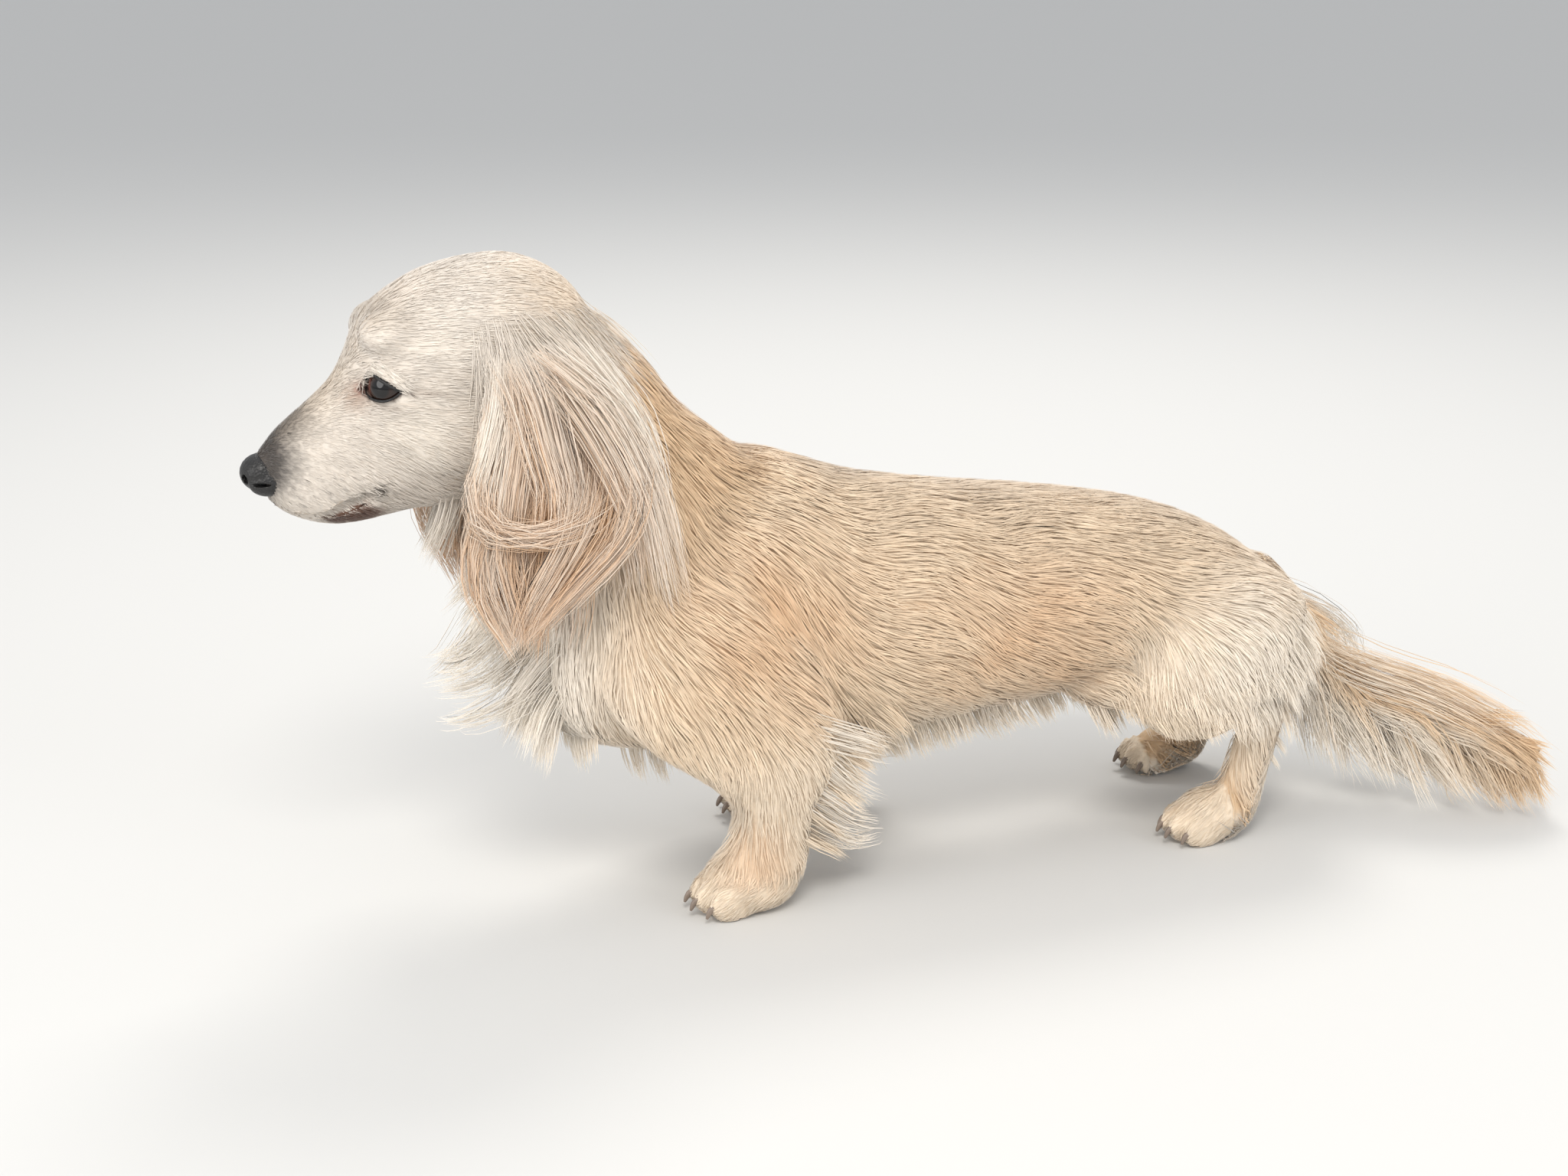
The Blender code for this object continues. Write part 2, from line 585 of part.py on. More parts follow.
def outline_block(outline, inner, grow, side, back):
    """A block on one side of the body, from x = inner outwards, whose side view is the smooth outline.

    On the right its foot is set back by so many centimetres.
    """
    rows = smooth_rows(outline, 3)
    count = len(rows)
    points = []
    for i, (y, z) in enumerate(rows):
        before, after = rows[(i - 1) % count], rows[(i + 1) % count]
        away = Vector((before[1] - after[1], after[0] - before[0])).normalized()
        points.append((y * CM + away.x * grow, z * CM + away.y * grow))
    if side < 0:
        points = [(y + back * step(z) * CM, z) for y, z in points]
    bm = bmesh.new()
    inside = [bm.verts.new((side * (inner * CM - grow), y, z)) for y, z in points]
    outside = [bm.verts.new((side * 0.12, y, z)) for y, z in points]
    bm.faces.new(inside)
    bm.faces.new(list(reversed(outside)))
    for k in range(count):
        bm.faces.new((inside[k], inside[(k + 1) % count], outside[(k + 1) % count], outside[k]))
    bmesh.ops.triangulate(bm, faces=bm.faces, ngon_method="EAR_CLIP")
    bmesh.ops.recalc_face_normals(bm, faces=bm.faces)
    return object_of("block", [bm])


def parted(whole, name, block, larger_block):
    """The part of the whole inside the block, which the whole then lacks, with a gap between them.

    Where the two come out crossing, both blocks are moved a little and the cuts are made again.
    """
    before = whole.data.copy()
    for _ in range(NUDGES):
        piece = boolean(copy_of(whole, name), block, "INTERSECT", PARTING_SOLVERS)
        boolean(whole, larger_block, "DIFFERENCE", PARTING_SOLVERS)
        if not tree_of(piece).overlap(tree_of(whole)):
            break
        discard(piece)
        whole.data = before.copy()
        for shape in (block, larger_block):
            shape.data.transform(Matrix.Translation(PARTING_NUDGE))
    else:
        raise RuntimeError(f"{name} crosses what it is parted from")
    discard(block, larger_block)
    return piece


def parted_at(whole, name, cut):
    """The part of the whole beyond a line through two points, which the whole then lacks."""
    return parted(whole, name, slab(cut, GAP / 2), slab(cut, -GAP / 2))


def flat_soles(obj):
    """Cuts away what is under the floor, so that each paw rests on a flat sole."""
    bm = bmesh.new()
    bmesh.ops.create_cube(bm, size=1.0, matrix=Matrix.Translation((0, 0, -0.5)))
    below = object_of("below", [bm])
    boolean(obj, below, "DIFFERENCE")
    discard(below)
    return obj


def make_body():
    """The torso, neck, tail, limbs and paws, by name."""
    whole = flat_soles(fused("torso", body_forms(), BODY_VOXEL, 5, BODY_TRIANGLES))
    nodes = {}
    limbs = (("foreleg", FORELEG_OUTLINE, FORELEG_INNER, FRONT_STEP_BACK, "paw_front", WRIST_HEIGHT),
             ("hindleg", HINDLEG_OUTLINE, HINDLEG_INNER, HIND_STEP_BACK, "paw_hind", ANKLE_HEIGHT))
    for leg_name, outline, inner, back, paw_name, height in limbs:
        for name, side in (("left", 1), ("right", -1)):
            blocks = [outline_block(outline, inner, grow, side, back) for grow in (0.0, PACE_GAP)]
            leg = parted(whole, f"{leg_name}_{name}", *blocks)
            paw = parted_at(leg, f"{paw_name}_{name}", ((1.0, height), (-1.0, height)))
            nodes[leg.name] = leg
            nodes[paw.name] = paw
    nodes["tail"] = parted_at(whole, "tail", TAIL_CUT)
    neck = parted_at(whole, "neck", NECK_CUT[::-1])
    spare = parted_at(neck, "spare", HEAD_CUT[::-1])
    discard(spare)
    nodes["torso"] = whole
    nodes["neck"] = neck
    return nodes


def eye_axes(side):
    """The middle of an eye, and the ways out of the head, back along the lids and up."""
    x, y, z = EYE
    middle = Vector((HEAD_X + side * x, y, z)) * CM
    angle = math.radians(EYE_AZIMUTH)
    out = Vector((side * math.sin(angle), -math.cos(angle), 0.08)).normalized()
    up = (Vector((0, 0, 1)) - out * out.z).normalized()
    return middle, out, up.cross(out) * side, up


def lid_edge(height, peak, count):
    """Places (back, up) along the edge of a lid, from the inner corner to the outer one, in centimetres."""
    edge = []
    for k in range(count + 1):
        u = 2 * k / count - 1
        skew = (u - peak) / (1 - peak) if u > peak else (u - peak) / (1 + peak)
        edge.append((u * EYE_HALF_LENGTH, height * (1 - abs(skew) ** 2.2) + CORNER_DROP))
    return edge


def lid_stays(side, height, peak, radius, count=6):
    """The rim of a lid as stays of a thin limb that lies on the eyeball."""
    middle, out, back, up = eye_axes(side)
    ball = EYE_RADIUS + LID_DEPTH * 0.8
    stays = []
    for a, b in lid_edge(height, peak, count):
        p = middle / CM + out * math.sqrt(max(ball * ball - a * a - b * b, 0.0)) + back * a + up * b
        thick = radius * (1.0 - 0.4 * (a / EYE_HALF_LENGTH) ** 2)
        stays.append((*p, thick, thick))
    return stays


def eye_opening(side):
    """The block that opens the lids in front of an eyeball."""
    middle, out, back, up = eye_axes(side)
    loop = lid_edge(*UPPER_LID, 8) + lid_edge(*LOWER_LID, 8)[-2:0:-1]
    bm = bmesh.new()
    rings = []
    for depth in (0.3, 1.9):
        rings.append([bm.verts.new(middle + (out * depth + back * a + up * b) * CM) for a, b in loop])
    count = len(loop)
    bm.faces.new(rings[0])
    bm.faces.new(rings[1][::-1])
    for k in range(count):
        n = (k + 1) % count
        bm.faces.new((rings[0][k], rings[0][n], rings[1][n], rings[1][k]))
    bmesh.ops.triangulate(bm, faces=bm.faces)
    bmesh.ops.recalc_face_normals(bm, faces=bm.faces)
    return bm


def make_head():
    """The head with the line of its mouth and its lids, the nose, the eyes, and nothing yet of the ears."""
    head = fused("head", head_forms(), HEAD_VOXEL, 4, HEAD_TRIANGLES)
    behind = slab(HEAD_CUT, -GAP / 2)
    boolean(head, behind, "DIFFERENCE")
    discard(behind)
    nodes = {"head": head}
    tree = tree_of(head)
    line = []
    for x, y, z in smooth_rows(LIP_LINE, 2):
        for_left = tree.find_nearest(Vector((HEAD_X + x, y, z)) * CM)[0] / CM
        line.append((for_left.x - HEAD_X, for_left.y, for_left.z))
    both = [(-x, y, z) for x, y, z in reversed(line[1:])] + line
    stays = []
    for k, (x, y, z) in enumerate(both):
        radius = LIP_GROOVE * (0.55 + 0.45 * math.sin(math.pi * k / (len(both) - 1)) ** 0.5)
        stays.append((HEAD_X + x, y, z, radius, radius))
    groove = object_of("groove", [limb(stays, sides=6, steps=1)])
    boolean(head, groove, "DIFFERENCE")
    discard(groove)
    for name, side in (("left", 1), ("right", -1)):
        opening = object_of("opening", [eye_opening(side)])
        boolean(head, opening, "DIFFERENCE")
        discard(opening)
        for lid, radius in ((UPPER_LID, UPPER_RIM), (LOWER_LID, LOWER_RIM)):
            rim = object_of("rim", [limb(lid_stays(side, *lid, radius), sides=6, steps=1)])
            boolean(head, rim, "UNION")
            discard(rim)
        middle, out = eye_axes(side)[:2]
        bm = bmesh.new()
        bmesh.ops.create_uvsphere(bm, u_segments=14, v_segments=9, radius=EYE_RADIUS * CM)
        turn = Vector((0, 0, 1)).rotation_difference(out).to_matrix().to_4x4()
        bmesh.ops.transform(bm, matrix=Matrix.Translation(middle) @ turn, verts=bm.verts)
        bmesh.ops.triangulate(bm, faces=bm.faces)
        eye = object_of(f"eye_{name}", [bm])
        cut_clear(head, eye)
        nodes[eye.name] = eye
    nodes["nose"] = make_nose(head)
    return nodes


def make_nose(head):
    """The bare pad of the nose, set in the head, with both nostrils."""
    forms = [on_head(NOSE_PAD, 1)] + [on_head(NOSE_WING, side) for side in (-1, 1)]
    nose = fused("nose", forms, 0.0007, 3, 150)
    cut_clear(head, nose)
    for side in (-1, 1):
        for form, turn in ((NOSTRIL, 25), (NOSTRIL_SLIT, 10)):
            hole = object_of("hole", [on_head(form, side, turn=turn, detail=2)])
            boolean(nose, hole, "DIFFERENCE")
            discard(hole)
    split = object_of("hole", [on_head(PHILTRUM, 1, detail=2)])
    boolean(nose, split, "DIFFERENCE")
    discard(split)
    return nose


def make_ears(head, neck, torso):
    """The two hanging ears, each with its rolled front edge and its cup."""
    nodes = {}
    for name, side in (("left", 1), ("right", -1)):
        forms = [ribbed(EAR_RIBS, sides=20), limb(EAR_FOLD, sides=12)]
        if side < 0:
            forms = [mirrored(bm) for bm in forms]
            for bm in forms:
                bmesh.ops.translate(bm, vec=(2 * HEAD_X * CM, 0, 0), verts=bm.verts)
        ear = fused(f"ear_{name}", forms, 0.0014, 3, 200)
        for other in (head, neck, torso):
            cut_clear(ear, other, gap=0.0004)
        cup = object_of("cup", [on_head(EAR_CUP, side, detail=2)])
        boolean(ear, cup, "DIFFERENCE")
        discard(cup)
        nodes[ear.name] = ear
    return nodes


def make_claws(nodes):
    """Four short claws on each paw, each in a socket of its toe."""
    claws = {}
    for paw_name, centre, size, back in (("paw_front", FRONT_PAW, FRONT_PAW_SIZE, FRONT_STEP_BACK),
                                         ("paw_hind", HIND_PAW, HIND_PAW_SIZE, HIND_STEP_BACK)):
        for side in ("left", "right"):
            paw = nodes[f"{paw_name}_{side}"]
            for number, (x, y, z, turn) in enumerate(toe_places(centre, size), 1):
                way = Vector((math.sin(math.radians(turn)), -math.cos(math.radians(turn)), 0))
                tip = Vector((x, y, z)) + way * 1.05 + Vector((0, 0, 0.02))
                stays = []
                for t, thick in ((-0.35, 1.0), (0.35, 0.95), (1.0, 0.35)):
                    p = tip + way * CLAW_LENGTH * t * 0.8 + Vector((0, 0, -0.45 * max(t, 0) ** 2))
                    stays.append((*p, CLAW_RADIUS * thick * 0.8, CLAW_RADIUS * thick))
                bm = limb(stays, sides=6, steps=1)
                claw = object_of(f"claw_{paw_name[4:]}_{side}_{number}",
                                 [bm if side == "left" else mirrored(bm, back)])
                cut_clear(paw, claw)
                claws[claw.name] = claw
    return claws


def tree_of(bm_or_object):
    """The faces of an object, or of a bmesh, as a tree that finds the nearest and the crossing ones."""
    if isinstance(bm_or_object, bmesh.types.BMesh):
        return BVHTree.FromBMesh(bm_or_object)
    bm = bmesh.new()
    bm.from_mesh(bm_or_object.data)
    tree = BVHTree.FromBMesh(bm)
    bm.free()
    return tree


def lock_body(root, way, lie, flat, length, width, bend, grow=0.0):
    """A flat tapered lock as a closed body. It leaves its root one way and bends over to its lie."""
    bm = bmesh.new()
    rings = []
    side = lie.cross(flat).normalized()
    for t, part in LOCK_RINGS + [(1.0, 0.0)]:
        p = root + (way * (t - t * t / 2) + lie * t * t / 2) * length
        p += side * bend * length * math.sin(math.pi * 1.5 * t)
        if not part:
            rings.append([bm.verts.new(p + lie * grow)])
            break
        along = way.lerp(lie, t)
        across = along.cross(flat).normalized()
        out = across.cross(along).normalized()
        half, thick = width * part / 2 + grow, LOCK_THICKNESS * CM * (part + 0.25) / 2 + grow
        rings.append([bm.verts.new(p + across * half), bm.verts.new(p + out * thick),
                      bm.verts.new(p - across * half), bm.verts.new(p - out * thick)])
    bm.faces.new(rings[0][::-1])
    for lower, upper in zip(rings, rings[1:]):
        for k in range(4):
            n = (k + 1) % 4
            if len(upper) == 1:
                bm.faces.new((lower[k], lower[n], upper[0]))
            else:
                bm.faces.new((lower[k], lower[n], upper[n], upper[k]))
    bmesh.ops.triangulate(bm, faces=bm.faces)
    bmesh.ops.recalc_face_normals(bm, faces=bm.faces)
    return bm


class Coat:
    """Sets locks on the nodes, clear of every other node and its locks, and joins them on at the end."""

    def __init__(self, nodes):
        self.nodes = nodes
        self.skins = {name: tree_of(obj) for name, obj in nodes.items()}
        self.locks = {}
        self.chance = random.Random(SEED)

    def is_clear(self, node, trial):
        """Whether a lock stays off the other nodes, their locks and the floor."""
        if min(v.co.z for v in trial.verts) < FLOOR_CLEARANCE:
            return False
        tree = tree_of(trial)
        if any(name != node and skin.overlap(tree) for name, skin in self.skins.items()):
            return False
        return not any(other.overlap(tree) for name, held in self.locks.items() if name != node
                       for _, other in held)

    def set_lock(self, node, near, lie, length, width, lift=0.45):
        """One lock rooted on the node's skin nearest to a point. It is shortened or left out to stay clear."""
        place, normal, _, _ = self.skins[node].find_nearest(near)
        chance = self.chance
        lie = (lie + Vector([chance.uniform(-0.09, 0.09) for _ in range(3)])).normalized()
        way = (lie * (1.0 - lift) + normal * lift).normalized()
        flat = (normal - lie * normal.dot(lie) + Vector((chance.uniform(-0.3, 0.3), 0, 0)))
        flat = (flat + normal * 0.2).normalized()
        bend = chance.uniform(-0.05, 0.05)
        length *= chance.uniform(0.9, 1.12)
        root = place - normal * LOCK_SINK * CM
        for shorter, lifted in ((1.0, 0.0), (0.85, 0.1), (0.7, 0.25), (0.55, 0.4)):
            aim = (lie + normal * lifted).normalized()
            shape = (root, way, aim, flat, (length * shorter + LOCK_SINK) * CM, width * CM, bend)
            trial = lock_body(*shape, grow=LOCK_CLEARANCE)
            if self.is_clear(node, trial):
                self.locks.setdefault(node, []).append((lock_body(*shape), tree_of(lock_body(*shape))))
                trial.free()
                return
            trial.free()

    def row(self, node, first, last, count, lie_first, lie_last, length, width, side=1, back=0.0, shift=0.0):
        """A row of locks, or its mirror image set back as the right limbs are."""
        for k in range(count):
            t = k / max(count - 1, 1)
            near = Vector(first).lerp(Vector(last), t)
            near += Vector([self.chance.uniform(-0.15, 0.15) for _ in range(3)])
            lie = Vector(lie_first).lerp(Vector(lie_last), t)
            if side < 0:
                near.x = -near.x + shift
                near.y += back * step(near.z * CM)
                lie.x = -lie.x
            self.set_lock(node, near * CM, lie.normalized(), length, width)

    def plume(self, node):
        """The tail's locks, hanging from its underside and sides and lying along its top."""
        path = [Vector(stay[:3]) for stay in smooth_rows(TAIL_STAYS, 8)]
        for turn, first, last, count, length, width in PLUME_ROWS:
            for k in range(count):
                t = first + (last - first) * (k + 0.3 * (turn != 0)) / count
                place = t * (len(path) - 1)
                at = int(place)
                along = (path[min(at + 1, len(path) - 1)] - path[max(at - 1, 0)]).normalized()
                side = along.cross(Vector((0, 0, 1))).normalized()
                up = side.cross(along).normalized()
                angle = math.radians(turn)
                out = -up * math.cos(angle) + side * math.sin(angle)
                fall = max(math.cos(angle), 0.0)
                lie = (along * (0.62 + 0.35 * (1 - fall)) + Vector((0, 0, -0.75)) * (0.25 + 0.75 * fall) + out * 0.22)
                point = path[at].lerp(path[min(at + 1, len(path) - 1)], place - at)
                near = (point + out * 1.2) * CM
                self.set_lock(node, near, lie.normalized(), length * (1.1 - 0.4 * t * t), width)

    def join(self):
        """Joins every lock to its node."""
        for node, held in self.locks.items():
            group = bpy.data.collections.new("locks")
            bpy.context.scene.collection.children.link(group)
            for bm, _ in held:
                obj = object_of("lock", [bm])
                bpy.context.scene.collection.objects.unlink(obj)
                group.objects.link(obj)
            boolean(self.nodes[node], group, "UNION")
            discard(*group.objects)
            bpy.data.collections.remove(group)


def grow_coat(nodes):
    """The long coat of every node."""
    coat = Coat(nodes)
    for row in RUFF_ROWS:
        node = "neck" if row[0][2] > 13.0 else "torso"
        coat.row(node, *row)
    for row in BELLY_ROWS + RUMP_ROWS:
        coat.row("torso", *row)
    for name, side in (("left", 1), ("right", -1)):
        for row in ELBOW_ROWS:
            coat.row(f"foreleg_{name}", *row, side=side, back=FRONT_STEP_BACK)
        for row in TROUSER_ROWS:
            coat.row(f"hindleg_{name}", *row, side=side, back=HIND_STEP_BACK)
        for row in EAR_ROWS:
            coat.row(f"ear_{name}", *row, side=side, shift=2 * HEAD_X)
    coat.plume("tail")
    coat.join()


def draw_back(obj):
    """Draws points back from each other, by a few thousandths of a millimetre, where the skin touches itself."""
    bm = bmesh.new()
    bm.from_mesh(obj.data)
    bm.normal_update()
    places = KDTree(len(bm.verts))
    for v in bm.verts:
        places.insert(v.co, v.index)
    places.balance()
    touching = [v for v in bm.verts if len(places.find_range(v.co, TOUCH)) > 1]
    for v in touching:
        v.co -= v.normal * DRAWN_BACK
    bm.to_mesh(obj.data)
    bm.free()


def finish(nodes):
    """Moves the whole to its origin and gives each node its own material."""
    for obj in nodes.values():
        draw_back(obj)
    corners = np.array([v.co for obj in nodes.values() for v in obj.data.vertices])
    low, high = corners.min(axis=0), corners.max(axis=0)
    shift = Matrix.Translation((-(low[0] + high[0]) / 2, -(low[1] + high[1]) / 2, 0.0))
    for name, obj in nodes.items():
        obj.data.transform(shift)
        kinds = (("nose", NOSE_BLACK, 0.35), ("eye", EYE_BROWN, 0.08), ("claw", CLAW_GREY, 0.4),
                 ("paw", PALE_CREAM, 0.85), ("head", PALE_CREAM, 0.85))
        colour, rough = next(((c, r) for key, c, r in kinds if name.startswith(key)), (CREAM, 0.85))
        material = bpy.data.materials.new(name)
        material.use_nodes = True
        shader = material.node_tree.nodes["Principled BSDF"]
        shader.inputs["Base Color"].default_value = (*colour, 1.0)
        shader.inputs["Roughness"].default_value = rough
        shader.inputs["Metallic"].default_value = 0.0
        obj.data.materials.clear()
        obj.data.materials.append(material)
        obj.data.shade_smooth()
        obj.data.set_sharp_from_angle(angle=math.radians(40))


def main():
    for obj in list(bpy.data.objects):
        bpy.data.objects.remove(obj)
    nodes = make_body()
    nodes.update(make_head())
    nodes.update(make_ears(nodes["head"], nodes["neck"], nodes["torso"]))
    nodes.update(make_claws(nodes))
    grow_coat(nodes)
    finish(nodes)


main()
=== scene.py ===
"""The looks of a long-haired miniature dachshund, cream, that stands still and slightly crouched behind.

The body is made again in the frame of the solids: +Z up, facing -Y, its left side +X. The tables are in
centimetres, in a frame whose x = 0 is the middle of the body and whose y = 0 is the middle of the back.
One skin carries a coat of thin tapered tufts, each a closed mesh that is rooted in the skin.
"""

import itertools
import math

import bpy
import bmesh
import numpy as np
from mathutils import Matrix, Vector
from mathutils.bvhtree import BVHTree
from mathutils.kdtree import KDTree


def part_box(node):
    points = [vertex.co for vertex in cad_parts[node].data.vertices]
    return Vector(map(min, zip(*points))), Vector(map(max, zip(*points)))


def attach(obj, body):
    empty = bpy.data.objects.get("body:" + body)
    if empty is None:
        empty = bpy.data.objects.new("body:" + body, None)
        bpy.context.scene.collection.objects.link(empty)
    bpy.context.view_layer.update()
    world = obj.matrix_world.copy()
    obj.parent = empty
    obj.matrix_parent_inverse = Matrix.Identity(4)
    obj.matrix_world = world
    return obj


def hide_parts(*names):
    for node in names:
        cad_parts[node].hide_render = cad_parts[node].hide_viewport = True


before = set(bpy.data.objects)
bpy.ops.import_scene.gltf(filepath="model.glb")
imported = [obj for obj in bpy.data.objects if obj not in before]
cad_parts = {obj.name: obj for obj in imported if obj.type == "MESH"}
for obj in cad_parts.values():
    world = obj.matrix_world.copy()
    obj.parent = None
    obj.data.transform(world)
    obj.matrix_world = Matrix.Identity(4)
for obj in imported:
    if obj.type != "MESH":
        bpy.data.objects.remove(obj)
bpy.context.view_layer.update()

CM = 0.01
SEED = 11
UV_PATCH = 0.003

# A rib is (top or front point, bottom or back point, half width, x of its middle, taper). Points are
# (y, z). A taper above zero makes it wider at its first point, below zero at its second, and none is 0.
TORSO_RIBS = [
    ((-17.4, 12.6), (-17.3, 9.6), 1.5, 0.0),
    ((-16.6, 14.6), (-16.6, 7.6), 3.0, 0.0),
    ((-14.4, 16.6), (-14.6, 6.5), 4.1, 0.0),
    ((-11.0, 18.2), (-11.4, 5.9), 4.7, 0.0, -0.05),
    ((-7.4, 19.25), (-7.4, 5.7), 5.0, 0.0, -0.10),
    ((-3.0, 17.8), (-3.0, 5.7), 5.25, 0.0, -0.12),
    ((1.0, 17.0), (1.0, 6.1), 5.3, 0.0, -0.10),
    ((5.4, 16.4), (5.4, 6.6), 5.1, 0.0, -0.08),
    ((9.4, 15.7), (9.4, 7.0), 4.8, 0.0, -0.05),
    ((12.4, 14.9), (12.8, 6.9), 4.6, 0.0),
    ((15.0, 13.8), (15.6, 6.9), 4.3, 0.0),
    ((17.2, 12.2), (17.2, 7.2), 3.5, 0.0),
    ((18.7, 10.6), (18.2, 8.0), 2.0, 0.0),
]
NECK_RIBS = [
    ((-6.5, 17.6), (-15.2, 8.8), 3.9, 0.0, -0.05),
    ((-8.5, 19.8), (-17.4, 12.4), 3.9, -0.1, -0.05),
    ((-10.4, 21.4), (-18.3, 14.8), 3.6, -0.3),
    ((-12.0, 23.6), (-18.8, 16.8), 3.3, -0.5),
    ((-13.6, 25.2), (-19.0, 18.6), 3.1, -0.7),
    ((-15.4, 26.0), (-19.0, 20.2), 2.4, -0.7),
]
HEAD_X = -0.7
HEAD_RIBS = [
    ((-27.75, 20.55), (-27.7, 18.3), 0.85, HEAD_X),
    ((-27.2, 21.2), (-27.0, 17.7), 1.15, HEAD_X, -0.10),
    ((-26.3, 21.95), (-26.0, 17.25), 1.35, HEAD_X, -0.14),
    ((-25.5, 22.6), (-25.0, 17.05), 1.50, HEAD_X, -0.15),
    ((-24.8, 23.3), (-23.9, 17.1), 1.75, HEAD_X, -0.14),
    ((-24.25, 24.3), (-22.8, 17.3), 2.15, HEAD_X, -0.08),
    ((-23.7, 25.5), (-21.6, 17.5), 2.55, HEAD_X, -0.02),
    ((-22.8, 26.45), (-20.6, 17.5), 2.85, HEAD_X),
    ((-20.8, 27.5), (-19.6, 17.8), 3.05, HEAD_X, 0.02),
    ((-18.2, 27.95), (-18.2, 18.6), 3.05, HEAD_X, 0.04),
    ((-16.5, 27.65), (-16.9, 19.8), 2.85, HEAD_X, 0.04),
    ((-15.1, 26.8), (-15.8, 21.0), 2.35, HEAD_X),
    ((-14.3, 25.8), (-15.0, 22.4), 1.5, HEAD_X),
]
# Ribs of the left limbs. The right ones are their mirror images, with the foot set back by a pace.
FORELEG_RIBS = [
    ((-12.6, 15.2), (-7.0, 16.2), 1.0, 3.0),
    ((-14.6, 12.2), (-5.6, 13.4), 1.8, 3.4),
    ((-15.0, 9.6), (-4.8, 10.2), 2.2, 3.9),
    ((-13.2, 7.5), (-4.6, 7.4), 2.3, 4.4),
    ((-11.2, 6.1), (-5.2, 5.7), 1.9, 4.8),
    ((-9.8, 4.7), (-6.1, 4.3), 1.55, 5.0),
    ((-9.9, 3.3), (-6.3, 2.9), 1.5, 5.0),
    ((-10.4, 2.3), (-6.5, 1.9), 1.55, 5.0),
    ((-10.3, 1.2), (-6.9, 1.0), 1.4, 5.0),
]
THIGH_RIBS = [
    ((11.6, 13.1), (16.6, 12.4), 1.2, 2.4),
    ((9.9, 11.8), (18.3, 11.0), 2.2, 3.0),
    ((9.2, 9.6), (18.0, 8.8), 2.5, 3.4),
    ((9.1, 7.6), (16.8, 7.2), 2.4, 3.8),
    ((9.8, 6.0), (15.0, 5.8), 1.9, 4.1),
    ((11.0, 5.0), (13.4, 5.0), 1.0, 4.2),
]
EAR_RIBS = [
    ((-18.2, 24.8), (-16.0, 25.0), 0.30, 1.45),
    ((-18.8, 23.8), (-14.8, 24.1), 0.45, 2.35),
    ((-19.3, 22.2), (-13.9, 22.6), 0.55, 3.20),
    ((-19.6, 20.6), (-13.3, 20.8), 0.55, 3.65),
    ((-19.8, 19.0), (-13.1, 18.8), 0.50, 4.00),
    ((-19.8, 17.6), (-13.4, 17.3), 0.45, 4.25),
    ((-19.4, 16.4), (-14.2, 16.1), 0.38, 4.35),
    ((-18.6, 15.6), (-15.2, 15.5), 0.25, 4.40),
]
# A stay is (x, y, z, half width, half depth) on the middle line of a round limb.
SHANK_STAYS = [
    (4.2, 11.4, 7.0, 1.5, 1.7),
    (4.2, 14.0, 7.1, 1.3, 1.4),
    (4.2, 16.0, 6.5, 1.0, 1.2),
    (4.25, 15.7, 5.0, 0.95, 1.15),
    (4.3, 15.2, 3.3, 0.95, 1.15),
    (4.3, 14.7, 1.5, 1.15, 1.2),
]
TAIL_STAYS = [
    (0.0, 16.6, 11.0, 1.9, 1.9),
    (0.1, 18.6, 9.3, 1.5, 1.5),
    (0.8, 20.2, 7.2, 1.2, 1.2),
    (2.0, 21.9, 5.6, 1.1, 1.1),
    (3.6, 23.9, 4.9, 1.05, 1.05),
    (5.1, 26.2, 4.3, 0.9, 0.9),
    (6.1, 28.2, 3.4, 0.65, 0.65),
    (6.5, 29.6, 2.8, 0.35, 0.35),
]
# A swelling is (x from the middle of the head, y, z, radius across, radius along, radius up).
BROW = (1.22, -22.6, 24.98, 1.25, 1.3, 1.12)
CHEEK = (1.75, -20.6, 21.2, 1.4, 2.7, 2.3)
FLEW = (0.80, -25.2, 18.7, 0.75, 2.3, 1.25)
# The root of the nose is where the muzzle meets its pad.
NOSE_ROOT = (0.0, -27.1, 19.62, 1.04, 1.20, 1.04)
NOSE_PAD = (0.0, -27.85, 19.45, 0.92, 0.88, 0.80)
NOSE_WING = (0.52, -27.65, 19.12, 0.50, 0.80, 0.58)
NOSTRIL = (0.42, -28.52, 19.30, 0.2, 0.42, 0.22)
NOSTRIL_SLIT = (0.94, -28.0, 19.12, 0.26, 0.5, 0.09)
PHILTRUM = (0.0, -28.75, 18.9, 0.06, 0.3, 0.4)
# Points of the left lip line as (x from the middle of the head, y, z), from the middle to the corner.
LIP_LINE = [
    (0.0, -27.75, 18.1),
    (0.75, -27.3, 17.8),
    (1.2, -26.3, 17.55),
    (1.4, -25.3, 17.7),
    (1.6, -24.3, 18.2),
    (1.8, -23.3, 18.75),
]
LIP_GROOVE = 0.15
# The rolled front edge of the left ear, as stays.
EAR_FOLD = [
    (1.5, -17.4, 24.9, 0.35, 0.40),
    (2.25, -18.5, 24.0, 0.40, 0.45),
    (2.9, -19.0, 22.4, 0.42, 0.42),
    (3.6, -19.5, 20.4, 0.42, 0.42),
    (4.1, -19.55, 18.2, 0.38, 0.38),
]

EYE_RADIUS = 0.95
EYE = (1.62, -22.62, 22.97)
LID_DEPTH = 0.13
EYE_AZIMUTH = 52.0
EYE_HALF_LENGTH = 0.92
LID_FORWARD = 0.09
# A lid is (height, where its peak is along it, roundness).
UPPER_LID = (0.70, -0.50, 1.25)
LOWER_LID = (-0.40, 0.10, 2.2)
CORNER_DROP = -0.10
UPPER_RIM = 0.0646
LOWER_RIM = 0.06

# The fold of skin between the belly and each thigh.
FLANK_FOLD = (3.5, 8.9, 8.0, 1.2, 2.9, 1.55)

